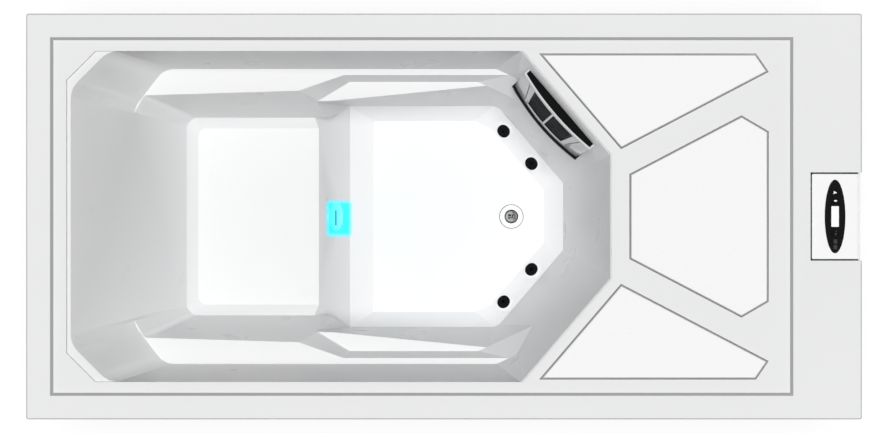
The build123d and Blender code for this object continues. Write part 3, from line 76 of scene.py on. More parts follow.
# The light that the lens throws on the acrylic round it, in plan, and the dark lamp edge behind the lens
GLOW_CENTRE = (-0.3155, -0.006, 0.0)
GLOW_HALF = (0.024, 0.042, 0.0)
GLOW_FADE = 0.02
LAMP_EDGE_CENTRE = (-0.324, -0.004, 0.0)
LAMP_EDGE_HALF = (0.0012, 0.0215, 0.0)
LAMP_EDGE_FADE = 0.003
LAMP_EDGE_COLOUR = (0.0, 0.12, 0.22)

# Marks on the keypad: carrying node, number of corners, middle, length along Y, width, turn and finish
MARKS = (
    ("keypad_button_1", 3, (1.1035, 0.0675), 0.0085, 0.0105, 20, "mark_white"),
    ("keypad_button_2", 24, (1.1055, 0.0443), 0.0044, 0.0088, 0, "mark_white"),
    ("keypad_button_3", 24, (1.1075, -0.0415), 0.0034, 0.0052, 0, "mark_grey"),
    ("keypad_button_3", 24, (1.1062, -0.0495), 0.0075, 0.006, 0, "mark_grey"),
    ("keypad_button_4", 4, (1.1052, -0.0705), 0.012, 0.0105, 45, "mark_grey"),
    ("keypad_housing", 4, (1.1052, -0.0865), 0.012, 0.0105, 45, "mark_grey"),
)

# Painted shade: how dark the grooves round the pads and the bevelled edges are against the plain surface
GROOVE_SHADE = 0.3
EDGE_SHADE = 0.55

# Heights that part the grooves, the bevelled edges and the plain tops: the groove's floor lies within
# GROOVE_BAND of the pads' underside, the deck's edges start EDGE_START above it, and TOP_SKIN is left plain
GROOVE_BAND = 0.001
EDGE_START = 0.0065
TOP_SKIN = 0.0004

# A face counts as flat from the second of these upward parts of its normal, and as tilted below the first
FLAT_NORMAL = (0.86, 0.985)

# The drain's flange, whose edge the seal follows, how far its shaded inside reaches above the floor of the
# basin, and how dark that inside is
DRAIN_FLANGE_RADIUS = 0.035
FLANGE_THICKNESS = 0.003
DRAIN_SHADE_TOP = 0.0012
DRAIN_SHADE = 0.08

# How far the dark seal's middle line lies outside the flange and above the basin's floor, in parts of its radius
# The dark seal is a rubber seal and also painted shade of the gap under the flange's edge
SEAL_OUT = 0.4
SEAL_UP = 0.5

# Painted shade in the stopper's pierced middle, and the bright bars across it
STOPPER_HOLE_HALF = (0.0075, 0.0045, 0.0)
STOPPER_HOLE_FADE = 0.005
STOPPER_HOLE_SHADE = 0.06
STOPPER_BAR_FADE = 0.0016
STOPPER_BAR_SHADE = 0.75

# Bright bars across the stopper's dark middle: their place from its centre and half their size
STOPPER_BARS = (
    ((0.0005, 0.003, 0.0), (0.0006, 0.004, 0.0)),
    ((0.0065, -0.0005, 0.0), (0.0007, 0.003, 0.0)),
    ((-0.006, -0.0005, 0.0), (0.0035, 0.0007, 0.0)),
    ((0.0, -0.005, 0.0), (0.004, 0.0006, 0.0)),
)

# Pitch of the lens's rings, of the cabinet's planks and of the frame's boards, and the dust near the ground
RING_PITCH = 0.006
PLANK_PITCH = 0.096
PLANK_OFFSET = 0.012
BOARD_PITCH = 0.5
DUST_REACH = 0.22
DUST_AMOUNT = 0.5
DUST_COLOUR = (0.3, 0.28, 0.25)

# Angles in degrees: the least fold that is rounded, the one on the shell, the limit of smooth shading and the
# greatest fold inside a flat face
ROUND_FOLD = 25
SHELL_FOLD = 12
SMOOTH_LIMIT = 35
FLAT_FOLD = 0.6

# Points that lie closer than this are one point, and the cabinet's rounded edges have this many facets
MERGE_DISTANCE = 1e-5
PANEL_STEPS = 2

# The studio: the floor's gap below the base, the lamp's height, the sensor's width in millimetres and the
# farthest distance that the camera sees
FLOOR_GAP = 0.0005
LAMP_HEIGHT = 6
SENSOR_WIDTH = 36
FARTHEST = 100

# Pieces whose edges the trim step rounds, and the finishes of those that differ from the rest of their slot
TRIM_NODES = (
    "filter_hatch_pad", "deck_pad_middle", "deck_pad_right", "skimmer_frame", "skimmer_lip",
    "jet_face_1", "jet_face_2", "jet_face_3", "jet_face_4", "jet_bodies",
    "drain_flange", "drain_stopper", "light_housing", "insert_seal", "control_insert", "keypad_housing",
)
OWN_FINISHES = {"drain_flange": "drain_white", "drain_stopper": "stopper", "light_housing": "lit_ring"}

# Pieces whose edges the cabinet step rounds
CABINET_NODES = ("side_panels", "head_panel", "access_panel", "corner_posts", "base_pan")


# Sizes and colours that a user would change


class SpaShape(bpy.types.PropertyGroup):
    """Edge radii and small fittings."""

    shell_edge: FloatProperty(
        name="Shell edge", description="Rounding of the moulded edges", default=0.007, unit="LENGTH"
    )
    trim_edge: FloatProperty(
        name="Trim edge", description="Rounding of moulded trim and fittings", default=0.0008, unit="LENGTH"
    )
    panel_edge: FloatProperty(
        name="Panel edge", description="Rounding of planks and posts", default=0.0015, unit="LENGTH"
    )
    edge_steps: IntProperty(name="Edge steps", description="Facets across a rounded edge", default=3, min=1)
    mark_height: FloatProperty(
        name="Mark height", description="Height of the raised key marks", default=0.00015, unit="LENGTH"
    )
    # Depth of the dark sheets of painted shade that lie behind the skimmer's grilles
    shade_sheet_gap: FloatProperty(
        name="Screen gap", description="How far the skimmer's screens lie behind its grilles", default=0.002,
        unit="LENGTH"
    )
    # Radius of the dark ring round the drain: a rubber seal and painted shade of the gap under the flange
    seal_and_shade_radius: FloatProperty(
        name="Seal", description="Radius of the seal that shows round the drain", default=0.0011,
        unit="LENGTH"
    )


class SpaColours(bpy.types.PropertyGroup):
    """Colours of the visible finishes."""

    acrylic: FloatVectorProperty(
        name="Acrylic", description="Moulded shell", subtype="COLOR", size=3, default=(0.705, 0.707, 0.711)
    )
    pads: FloatVectorProperty(
        name="Pads", description="Deck pads", subtype="COLOR", size=3, default=(0.81, 0.81, 0.81)
    )
    trim: FloatVectorProperty(
        name="Trim", description="White mouldings", subtype="COLOR", size=3, default=(0.8, 0.8, 0.8)
    )
    skimmer: FloatVectorProperty(
        name="Skimmer front", description="Pale grey moulding", subtype="COLOR", size=3,
        default=(0.5, 0.51, 0.52)
    )
    cladding: FloatVectorProperty(
        name="Cladding", description="Cabinet planks", subtype="COLOR", size=3, default=(0.055, 0.058, 0.065)
    )
    timber: FloatVectorProperty(
        name="Timber", description="Frame timber", subtype="COLOR", size=3, default=(0.5, 0.34, 0.19)
    )
    glow: FloatVectorProperty(
        name="Underwater light", description="Glow of the lens", subtype="COLOR", size=3,
        default=(0.03, 0.78, 1.0)
    )
    glow_strength: FloatProperty(name="Glow strength", description="Brightness of the lens", default=1.0)


class SpaStudio(bpy.types.PropertyGroup):
    """Camera, lamp and floor."""

    camera_height: FloatProperty(
        name="Camera height", description="Height over the rim", default=9.395, unit="LENGTH"
    )
    lens: FloatProperty(name="Lens", description="Focal length in millimetres", default=134.9, unit="CAMERA")
    sun_strength: FloatProperty(name="Overhead lamp", description="Strength of the wide lamp", default=3.5)
    sun_angle: FloatProperty(
        name="Lamp width", description="Angle of the wide lamp", default=math.radians(25), subtype="ANGLE"
    )
    fill: FloatProperty(name="Fill", description="Even light from all round", default=0.05)
    floor_white: FloatProperty(
        name="Floor white", description="Share of plain white that the camera sees on the floor", default=0.8
    )
    floor_size: FloatProperty(name="Floor", description="Side of the floor", default=60.0, unit="LENGTH")


# Small tools


def settings():
    """The three groups of settings."""
    scene = bpy.context.scene
    return scene.spa_shape, scene.spa_colours, scene.spa_studio


def deselect():
    """Nothing selected and nothing active."""
    if bpy.context.object and bpy.context.object.mode != "OBJECT":
        bpy.ops.object.mode_set(mode="OBJECT")
    bpy.ops.object.select_all(action="DESELECT")
    bpy.context.view_layer.objects.active = None


def pick(piece):
    """Only this piece selected and active."""
    deselect()
    piece.select_set(True)
    bpy.context.view_layer.objects.active = piece


def edit(piece):
    """Edit mode on this piece with nothing selected."""
    pick(piece)
    bpy.ops.object.mode_set(mode="EDIT")
    bpy.ops.mesh.select_all(action="DESELECT")


def leave():
    """Back to object mode."""
    bpy.ops.object.mode_set(mode="OBJECT")


def settle(piece):
    """The piece's place moves into its mesh, so that its object sits at the origin."""
    pick(piece)
    bpy.ops.object.transform_apply(location=True, rotation=True, scale=True)


def smooth(piece):
    """Shades smooth up to an angle."""
    pick(piece)
    bpy.ops.object.shade_smooth_by_angle(angle=math.radians(SMOOTH_LIMIT))


def apply_bevel(piece, width, steps, degrees):
    """Rounds the edges that are sharper than an angle."""
    pick(piece)
    bevel = piece.modifiers.new("Edges", "BEVEL")
    bevel.width = width
    bevel.segments = steps
    bevel.limit_method = "ANGLE"
    bevel.angle_limit = math.radians(degrees)
    bevel.use_clamp_overlap = True
    bpy.ops.object.modifier_apply(modifier=bevel.name)


def finish_piece(piece, name, body, finish):
    """Names the piece, gives it its finish and puts it on its body."""
    piece.name = name
    piece.data.name = name
    piece.data.materials.clear()
    piece.data.materials.append(finish)
    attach(piece, body)


def merged_copy(node):
    """A copy of a node's mesh with its loose triangles joined into flat faces."""
    piece = bpy.data.objects.new(node + "_soft", NODES[node].data.copy())
    bpy.context.scene.collection.objects.link(piece)
    edit(piece)
    bpy.ops.mesh.select_all(action="SELECT")
    bpy.ops.mesh.customdata_custom_splitnormals_clear()
    bpy.ops.mesh.remove_doubles(threshold=MERGE_DISTANCE)
    bpy.ops.mesh.dissolve_limited(angle_limit=math.radians(FLAT_FOLD))
    leave()
    return piece


def soften(node, width, steps, finish, degrees=ROUND_FOLD):
    """Puts a copy with rounded edges in the node's place."""
    piece = merged_copy(node)
    apply_bevel(piece, width, steps, degrees)
    smooth(piece)
    finish_piece(piece, node + "_soft", BODY_OF[node], finish)
    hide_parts(node)


# Node groups: effects that several finishes share


def new_group(name, inputs, outputs):
    """A node group with named value sockets, and its two end nodes."""
    group = bpy.data.node_groups.new(name, "ShaderNodeTree")
    for label, kind, default in inputs:
        socket = group.interface.new_socket(name=label, in_out="INPUT", socket_type=kind)
        socket.default_value = default
    for label, kind in outputs:
        group.interface.new_socket(name=label, in_out="OUTPUT", socket_type=kind)
    start = group.nodes.new("NodeGroupInput")
    end = group.nodes.new("NodeGroupOutput")
    return group, start, end


def add(tree, kind, **values):
    """A new node with its settings."""
    node = tree.nodes.new(kind)
    for key, value in values.items():
        setattr(node, key, value)
    return node


def spread(tree, value, low, high):
    """Maps a zero to one value onto a range."""
    node = add(tree, "ShaderNodeMapRange")
    tree.links.new(value, node.inputs["Value"])
    for socket, end in (("To Min", low), ("To Max", high)):
        if hasattr(end, "is_linked"):
            tree.links.new(end, node.inputs[socket])
        else:
            node.inputs[socket].default_value = end
    return node.outputs["Result"]


def mottle_group():
    """Soft uneven tone: a value between Low and High that drifts over the surface."""
    group, start, end = new_group(
        "Soft Mottle",
        [
            ("Scale", "NodeSocketFloat", 6.0),
            ("Low", "NodeSocketFloat", 0.1),
            ("High", "NodeSocketFloat", 0.2),
        ],
        [("Value", "NodeSocketFloat")],
    )
    place = add(group, "ShaderNodeTexCoord")
    noise = add(group, "ShaderNodeTexNoise")
    noise.inputs["Detail"].default_value = 4.0
    group.links.new(place.outputs["Object"], noise.inputs["Vector"])
    group.links.new(start.outputs["Scale"], noise.inputs["Scale"])
    result = spread(group, noise.outputs["Fac"], start.outputs["Low"], start.outputs["High"])
    group.links.new(result, end.inputs["Value"])
    return group


def grain_group():
    """Moulded grain: fine pits with some larger waves, as a height."""
    group, start, end = new_group(
        "Moulded Grain",
        [("Scale", "NodeSocketFloat", 900.0), ("Wave Scale", "NodeSocketFloat", 60.0)],
        [("Height", "NodeSocketFloat")],
    )
    place = add(group, "ShaderNodeTexCoord")
    fine = add(group, "ShaderNodeTexNoise")
    wave = add(group, "ShaderNodeTexNoise")
    for node, label in ((fine, "Scale"), (wave, "Wave Scale")):
        group.links.new(place.outputs["Object"], node.inputs["Vector"])
        group.links.new(start.outputs[label], node.inputs["Scale"])
    total = add(group, "ShaderNodeMath", operation="MULTIPLY_ADD")
    total.inputs[1].default_value = 0.5
    group.links.new(fine.outputs["Fac"], total.inputs[0])
    group.links.new(wave.outputs["Fac"], total.inputs[2])
    group.links.new(total.outputs[0], end.inputs["Height"])
    return group


def pebble_group():
    """Non-slip pebbles: low round bumps, as a height, and the joints between them as a mask."""
    group, start, end = new_group(
        "Pebble Texture",
        [("Scale", "NodeSocketFloat", 260.0)],
        [("Height", "NodeSocketFloat"), ("Joint", "NodeSocketFloat")],
    )
    place = add(group, "ShaderNodeTexCoord")
    cells = add(group, "ShaderNodeTexVoronoi", feature="SMOOTH_F1")
    cells.inputs["Smoothness"].default_value = 0.6
    group.links.new(place.outputs["Object"], cells.inputs["Vector"])
    group.links.new(start.outputs["Scale"], cells.inputs["Scale"])
    height = spread(group, cells.outputs["Distance"], 1.0, 0.0)
    group.links.new(height, end.inputs["Height"])
    group.links.new(cells.outputs["Distance"], end.inputs["Joint"])
    return group


def timber_group():
    """Grain that runs along the least stretched axes, and a board tone that changes at each pitch of Z."""
    group, start, end = new_group(
        "Long Grain",
        [
            ("Stretch", "NodeSocketVector", (2.0, 60.0, 60.0)),
            ("Pitch", "NodeSocketFloat", PLANK_PITCH),
            ("Offset", "NodeSocketFloat", PLANK_OFFSET),
        ],
        [("Grain", "NodeSocketFloat"), ("Board", "NodeSocketFloat")],
    )
    place = add(group, "ShaderNodeTexCoord")
    stretch = add(group, "ShaderNodeVectorMath", operation="MULTIPLY")
    group.links.new(place.outputs["Object"], stretch.inputs[0])
    group.links.new(start.outputs["Stretch"], stretch.inputs[1])
    apart = add(group, "ShaderNodeSeparateXYZ")
    group.links.new(place.outputs["Object"], apart.inputs[0])
    lift = add(group, "ShaderNodeMath", operation="SUBTRACT")
    group.links.new(apart.outputs["Z"], lift.inputs[0])
    group.links.new(start.outputs["Offset"], lift.inputs[1])
    count = add(group, "ShaderNodeMath", operation="DIVIDE")
    group.links.new(lift.outputs[0], count.inputs[0])
    group.links.new(start.outputs["Pitch"], count.inputs[1])
    board = add(group, "ShaderNodeMath", operation="FLOOR")
    group.links.new(count.outputs[0], board.inputs[0])
    chance = add(group, "ShaderNodeTexWhiteNoise", noise_dimensions="1D")
    group.links.new(board.outputs[0], chance.inputs["W"])
    shift = add(group, "ShaderNodeVectorMath", operation="ADD")
    group.links.new(stretch.outputs[0], shift.inputs[0])
    group.links.new(chance.outputs["Color"], shift.inputs[1])
    noise = add(group, "ShaderNodeTexNoise")
    noise.inputs["Scale"].default_value = 1.0
    noise.inputs["Detail"].default_value = 8.0
    noise.inputs["Distortion"].default_value = 0.6
    group.links.new(shift.outputs[0], noise.inputs["Vector"])
    group.links.new(noise.outputs["Fac"], end.inputs["Grain"])
    group.links.new(chance.outputs["Value"], end.inputs["Board"])
    return group


def patch_group():
    """A soft-edged rectangle in plan: a mask that is one inside and fades to nothing over Fade."""
    group, start, end = new_group(
        "Plan Patch",
        [
            ("Centre", "NodeSocketVector", (0.0, 0.0, 0.0)),
            ("Half Size", "NodeSocketVector", (0.1, 0.1, 0.0)),
            ("Fade", "NodeSocketFloat", 0.01),
        ],
        [("Mask", "NodeSocketFloat")],
    )
    place = add(group, "ShaderNodeTexCoord")
    offset = add(group, "ShaderNodeVectorMath", operation="SUBTRACT")
    group.links.new(place.outputs["Object"], offset.inputs[0])
    group.links.new(start.outputs["Centre"], offset.inputs[1])
    apart = add(group, "ShaderNodeVectorMath", operation="ABSOLUTE")
    group.links.new(offset.outputs[0], apart.inputs[0])
    beyond = add(group, "ShaderNodeVectorMath", operation="SUBTRACT")
    group.links.new(apart.outputs[0], beyond.inputs[0])
    group.links.new(start.outputs["Half Size"], beyond.inputs[1])
    outside = add(group, "ShaderNodeVectorMath", operation="MAXIMUM")
    outside.inputs[1].default_value = (0.0, 0.0, 0.0)
    group.links.new(beyond.outputs[0], outside.inputs[0])
    flat = add(group, "ShaderNodeVectorMath", operation="MULTIPLY")
    flat.inputs[1].default_value = (1.0, 1.0, 0.0)
    group.links.new(outside.outputs[0], flat.inputs[0])
    reach = add(group, "ShaderNodeVectorMath", operation="LENGTH")
    group.links.new(flat.outputs[0], reach.inputs[0])
    fade = add(group, "ShaderNodeMapRange", interpolation_type="SMOOTHSTEP")
    group.links.new(reach.outputs["Value"], fade.inputs["Value"])
    group.links.new(start.outputs["Fade"], fade.inputs["From Max"])
    fade.inputs["To Min"].default_value = 1.0
    fade.inputs["To Max"].default_value = 0.0
    group.links.new(fade.outputs["Result"], end.inputs["Mask"])
    return group


def level_group():
    """Faces between two heights: a mask of the flat ones, one of the tilted ones and one of all."""
    group, start, end = new_group(
        "Height Band",
        [("Low", "NodeSocketFloat", 0.0), ("High", "NodeSocketFloat", 1.0)],
        [("Flat", "NodeSocketFloat"), ("Tilted", "NodeSocketFloat"), ("All", "NodeSocketFloat")],
    )
    place = add(group, "ShaderNodeTexCoord")
    point = add(group, "ShaderNodeSeparateXYZ")
    group.links.new(place.outputs["Object"], point.inputs[0])
    above = add(group, "ShaderNodeMath", operation="GREATER_THAN")
    below = add(group, "ShaderNodeMath", operation="LESS_THAN")
    for node, label in ((above, "Low"), (below, "High")):
        group.links.new(point.outputs["Z"], node.inputs[0])
        group.links.new(start.outputs[label], node.inputs[1])
    inside = add(group, "ShaderNodeMath", operation="MULTIPLY")
    group.links.new(above.outputs[0], inside.inputs[0])
    group.links.new(below.outputs[0], inside.inputs[1])
    facing = add(group, "ShaderNodeSeparateXYZ")
    group.links.new(place.outputs["Normal"], facing.inputs[0])
    slope = add(group, "ShaderNodeMapRange", interpolation_type="SMOOTHSTEP")
    slope.inputs["From Min"].default_value = FLAT_NORMAL[0]
    slope.inputs["From Max"].default_value = FLAT_NORMAL[1]
    group.links.new(facing.outputs["Z"], slope.inputs["Value"])
    flat = add(group, "ShaderNodeMath", operation="MULTIPLY")
    group.links.new(inside.outputs[0], flat.inputs[0])
    group.links.new(slope.outputs["Result"], flat.inputs[1])
    tilted = add(group, "ShaderNodeMath", operation="SUBTRACT")
    group.links.new(inside.outputs[0], tilted.inputs[0])
    group.links.new(flat.outputs[0], tilted.inputs[1])
    group.links.new(flat.outputs[0], end.inputs["Flat"])
    group.links.new(tilted.outputs[0], end.inputs["Tilted"])
    group.links.new(inside.outputs[0], end.inputs["All"])
    return group


def splash_group():
    """Dust and splashes: a mask that is strongest near the ground."""
    group, start, end = new_group(
        "Ground Dust",
        [("Reach", "NodeSocketFloat", 0.25), ("Amount", "NodeSocketFloat", 0.35)],
        [("Mask", "NodeSocketFloat")],
    )
    place = add(group, "ShaderNodeTexCoord")
    apart = add(group, "ShaderNodeSeparateXYZ")
    group.links.new(place.outputs["Object"], apart.inputs[0])
    fade = add(group, "ShaderNodeMapRange")
    group.links.new(apart.outputs["Z"], fade.inputs["Value"])
    group.links.new(start.outputs["Reach"], fade.inputs["From Max"])
    group.links.new(start.outputs["Amount"], fade.inputs["To Min"])
    fade.inputs["To Max"].default_value = 0.0
    noise = add(group, "ShaderNodeTexNoise")
    noise.inputs["Scale"].default_value = 22.0
    noise.inputs["Detail"].default_value = 6.0
    group.links.new(place.outputs["Object"], noise.inputs["Vector"])
    patch = add(group, "ShaderNodeMath", operation="MULTIPLY")
    group.links.new(fade.outputs["Result"], patch.inputs[0])
    group.links.new(noise.outputs["Fac"], patch.inputs[1])
    group.links.new(patch.outputs[0], end.inputs["Mask"])
    return group


GROUPS = {}
FINISHES = {}


def build_groups():
    """Every shared node group, made once."""
    GROUPS.update(
        mottle=mottle_group(),
        grain=grain_group(),
        pebble=pebble_group(),
        timber=timber_group(),
        patch=patch_group(),
        level=level_group(),
        dust=splash_group(),
    )


# Finishes


def new_finish(name, roughness=0.4, metallic=0.0, coat=0.0):
    """A material with its Principled shader, and the tree to add nodes to."""
    finish = bpy.data.materials.new(name)
    finish.use_nodes = True
    tree = finish.node_tree
    shader = tree.nodes["Principled BSDF"]
    shader.inputs["Roughness"].default_value = roughness
    shader.inputs["Metallic"].default_value = metallic
    shader.inputs["Coat Weight"].default_value = coat
    return finish, tree, shader


def use(tree, key, **values):
    """A shared group placed in a material with its own values."""
    node = add(tree, "ShaderNodeGroup", node_tree=GROUPS[key])
    for label, value in values.items():
        node.inputs[label.replace("_", " ")].default_value = value
    return node


def tint(tree, factor, low, high):
    """A colour between two tones."""
    mix = add(tree, "ShaderNodeMix", data_type="RGBA")
    mix.inputs["A"].default_value = (*low, 1)
    mix.inputs["B"].default_value = (*high, 1)
    tree.links.new(factor, mix.inputs["Factor"])
    return mix.outputs["Result"]


def bump(tree, shader, height, strength, distance):
    """A bump on the shader's normal."""
    node = add(tree, "ShaderNodeBump")
    node.inputs["Strength"].default_value = strength
    node.inputs["Distance"].default_value = distance
    tree.links.new(height, node.inputs["Height"])
    tree.links.new(node.outputs["Normal"], shader.inputs["Normal"])


def shade(colour, factor):
    """The colour made darker or lighter."""
    return tuple(min(1.0, channel * factor) for channel in colour)


def middle_of(node):
    """The middle of a node's box."""
    low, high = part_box(node)
    return (low + high) / 2


def moulded(name, colour, rough, grain, wave, relief, coat=0.0, spread_of=0.03, sheen=0.5):
    """A moulded or painted surface: an uneven tone, uneven gloss and fine grain."""
    finish, tree, shader = new_finish(name, coat=coat)
    drift = use(tree, "mottle", Scale=5.0, Low=0.0, High=1.0)
    tone = tint(tree, drift.outputs["Value"], shade(colour, 1 - spread_of), shade(colour, 1 + spread_of / 2))
    tree.links.new(tone, shader.inputs["Base Color"])
    gloss = use(tree, "mottle", Scale=14.0, Low=rough * 0.8, High=rough * 1.3)
    tree.links.new(gloss.outputs["Value"], shader.inputs["Roughness"])
    texture = use(tree, "grain", Scale=grain, Wave_Scale=wave)
    bump(tree, shader, texture.outputs["Height"], strength=relief, distance=0.0004)
    shader.inputs["Specular IOR Level"].default_value = sheen
    return finish


def veil(tree, colour, factor, over):
    """The colour with another one laid over it where the mask is."""
    mix = add(tree, "ShaderNodeMix", data_type="RGBA")
    mix.inputs["B"].default_value = (*over, 1)
    tree.links.new(factor, mix.inputs["Factor"])
    tree.links.new(colour, mix.inputs["A"])
    return mix.outputs["Result"]


def acrylic_finish(name, colour, glow):
    """Cast acrylic: a soft gloss, a slight ripple, painted shade in grooves and on edges, and painted light round
    the lens.
    """
    finish, tree, shader = new_finish(name)
    pads_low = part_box("deck_pad_middle")[0].z
    shader.inputs["Specular IOR Level"].default_value = 0.12
    drift = use(tree, "mottle", Scale=1.6, Low=0.0, High=1.0)
    tone = tint(tree, drift.outputs["Value"], shade(colour, 0.985), shade(colour, 1.01))
    patch = use(tree, "patch", Centre=GLOW_CENTRE, Half_Size=GLOW_HALF, Fade=GLOW_FADE)
    groove = use(tree, "level", Low=pads_low - GROOVE_BAND, High=pads_low + GROOVE_BAND)
    edge = use(tree, "level", Low=pads_low + EDGE_START, High=RIM_Z - TOP_SKIN)
    # Painted shade in the grooves round the pads and on the tilted edges, then painted light round the lens
    tone = veil(tree, tone, groove.outputs["Flat"], shade(colour, GROOVE_SHADE))
    tone = veil(tree, tone, edge.outputs["Tilted"], shade(colour, EDGE_SHADE))
    tone = veil(tree, tone, patch.outputs["Mask"], shade(glow, 0.3))
    tree.links.new(tone, shader.inputs["Base Color"])
    halo = tint(tree, patch.outputs["Mask"], (0.0, 0.0, 0.0), glow)
    tree.links.new(halo, shader.inputs["Emission Color"])
    shader.inputs["Emission Strength"].default_value = 1.0
    gloss = use(tree, "mottle", Scale=7.0, Low=0.24, High=0.34)
    tree.links.new(gloss.outputs["Value"], shader.inputs["Roughness"])
    ripple = use(tree, "grain", Scale=140.0, Wave_Scale=9.0)
    bump(tree, shader, ripple.outputs["Height"], strength=0.02, distance=0.0008)
    return finish


def drain_finish(colour):
    """White flange whose inside is in the shade."""
    finish, tree, shader = new_finish("Drain White", roughness=0.3)
    drift = use(tree, "mottle", Scale=40.0, Low=0.0, High=1.0)
    tone = tint(tree, drift.outputs["Value"], shade(colour, 0.97), colour)
    floor_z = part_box("drain_flange")[1].z - FLANGE_THICKNESS
    inside = use(tree, "level", Low=0.0, High=floor_z + DRAIN_SHADE_TOP)
    tone = veil(tree, tone, inside.outputs["All"], shade(colour, DRAIN_SHADE))
    tree.links.new(tone, shader.inputs["Base Color"])
    return finish


def pad_finish(colour):
    """Satin pads with low non-slip pebbles, and painted shade on their sides below the top."""
    finish, tree, shader = new_finish("Non Slip Pad", roughness=0.5)
    pebbles = use(tree, "pebble", Scale=320.0)
    tone = tint(tree, pebbles.outputs["Joint"], colour, shade(colour, 0.96))
    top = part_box("deck_pad_middle")[1].z
    # Painted shade on the pad's sides, on everything below its top
    edge = use(tree, "level", Low=0.0, High=top - TOP_SKIN)
    tone = veil(tree, tone, edge.outputs["All"], shade(colour, EDGE_SHADE))
    tree.links.new(tone, shader.inputs["Base Color"])
    gloss = use(tree, "mottle", Scale=9.0, Low=0.38, High=0.55)
    tree.links.new(gloss.outputs["Value"], shader.inputs["Roughness"])
    bump(tree, shader, pebbles.outputs["Height"], strength=0.2, distance=0.0004)
    return finish


def timber_finish(name, colour, stretch, rough, pitch, dust):
    """Boards with long grain, each with a tone of its own, and dust near the ground where it is asked for."""
    finish, tree, shader = new_finish(name)
    grain = use(tree, "timber", Stretch=stretch, Pitch=pitch)
    board = add(tree, "ShaderNodeMath", operation="MULTIPLY_ADD")
    board.inputs[1].default_value = 0.45
    tree.links.new(grain.outputs["Board"], board.inputs[0])
    tree.links.new(grain.outputs["Grain"], board.inputs[2])
    tone = tint(tree, board.outputs[0], shade(colour, 0.55), shade(colour, 1.35))
    if dust:
        mask = use(tree, "dust", Reach=DUST_REACH, Amount=DUST_AMOUNT)
        tone = veil(tree, tone, mask.outputs["Mask"], DUST_COLOUR)
    tree.links.new(tone, shader.inputs["Base Color"])
    gloss = spread(tree, grain.outputs["Grain"], rough * 0.85, min(1.0, rough * 1.2))
    tree.links.new(gloss, shader.inputs["Roughness"])
    bump(tree, shader, grain.outputs["Grain"], strength=0.35, distance=0.0008)
    return finish


def metal_finish(name, colour, low, high, scale):
    """Bare or plated metal with uneven polish."""
    finish, tree, shader = new_finish(name, metallic=1.0)
    drift = use(tree, "mottle", Scale=scale, Low=0.0, High=1.0)
    tone = tint(tree, drift.outputs["Value"], shade(colour, 0.9), colour)
    tree.links.new(tone, shader.inputs["Base Color"])
    gloss = use(tree, "mottle", Scale=scale * 3, Low=low, High=high)
    tree.links.new(gloss.outputs["Value"], shader.inputs["Roughness"])
    texture = use(tree, "grain", Scale=1400.0, Wave_Scale=200.0)
    bump(tree, shader, texture.outputs["Height"], strength=0.08, distance=0.0002)
    return finish


def stopper_finish(colour):
    """Plated stopper with painted shade in its pierced middle between bright bars."""
    finish, tree, shader = new_finish("Stopper Chrome", metallic=1.0)
    middle = middle_of("drain_stopper")
    drift = use(tree, "mottle", Scale=60.0, Low=0.0, High=1.0)
    tone = tint(tree, drift.outputs["Value"], shade(colour, 0.85), colour)
    # Painted shade where the stopper's middle is pierced
    hole = use(tree, "patch", Centre=middle, Half_Size=STOPPER_HOLE_HALF, Fade=STOPPER_HOLE_FADE)
    tone = veil(tree, tone, hole.outputs["Mask"], shade(colour, STOPPER_HOLE_SHADE))
    for offset, half in STOPPER_BARS:
        bar = use(tree, "patch", Centre=middle + Vector(offset), Half_Size=half, Fade=STOPPER_BAR_FADE)
        tone = veil(tree, tone, bar.outputs["Mask"], shade(colour, STOPPER_BAR_SHADE))
    tree.links.new(tone, shader.inputs["Base Color"])
    gloss = use(tree, "mottle", Scale=180.0, Low=0.1, High=0.2)
    tree.links.new(gloss.outputs["Value"], shader.inputs["Roughness"])
    return finish


def glow_finish(colour, strength):
    """The lit lens: rings of prisms round its centre, and the dark edge of the lamp behind it."""
    finish, tree, shader = new_finish("Lit Lens", roughness=0.12, coat=0.5)
    place = add(tree, "ShaderNodeTexCoord")
    reach = add(tree, "ShaderNodeVectorMath", operation="DISTANCE")
    reach.inputs[1].default_value = middle_of("light_lens")
    tree.links.new(place.outputs["Object"], reach.inputs[0])
    turns = add(tree, "ShaderNodeMath", operation="MULTIPLY")
    turns.inputs[1].default_value = math.tau / RING_PITCH
    tree.links.new(reach.outputs["Value"], turns.inputs[0])
    wave = add(tree, "ShaderNodeMath", operation="SINE")
    tree.links.new(turns.outputs[0], wave.inputs[0])
    ridge = add(tree, "ShaderNodeMapRange")
    ridge.inputs["From Min"].default_value = -1.0
    tree.links.new(wave.outputs[0], ridge.inputs["Value"])
    tone = tint(tree, ridge.outputs["Result"], shade(colour, 0.85), colour)
    edge = use(tree, "patch", Centre=LAMP_EDGE_CENTRE, Half_Size=LAMP_EDGE_HALF, Fade=LAMP_EDGE_FADE)
    tone = veil(tree, tone, edge.outputs["Mask"], LAMP_EDGE_COLOUR)
    tree.links.new(tone, shader.inputs["Base Color"])
    tree.links.new(tone, shader.inputs["Emission Color"])
    shader.inputs["Emission Strength"].default_value = strength
    bump(tree, shader, ridge.outputs["Result"], strength=0.4, distance=0.0004)
    return finish


def display_finish():
    """The pale lit window of the keypad, with faint upright bands."""
    finish, tree, shader = new_finish("Keypad Window", roughness=0.15, coat=0.6)
    place = add(tree, "ShaderNodeTexCoord")
    stretch = add(tree, "ShaderNodeVectorMath", operation="MULTIPLY")
    stretch.inputs[1].default_value = (230.0, 12.0, 1.0)
    tree.links.new(place.outputs["Object"], stretch.inputs[0])
    noise = add(tree, "ShaderNodeTexNoise")
    noise.inputs["Scale"].default_value = 1.0
    tree.links.new(stretch.outputs[0], noise.inputs["Vector"])
    tone = tint(tree, noise.outputs["Fac"], (0.72, 0.73, 0.74), (0.82, 0.83, 0.84))
    tree.links.new(tone, shader.inputs["Base Color"])
    tree.links.new(tone, shader.inputs["Emission Color"])
    shader.inputs["Emission Strength"].default_value = 0.15
    return finish


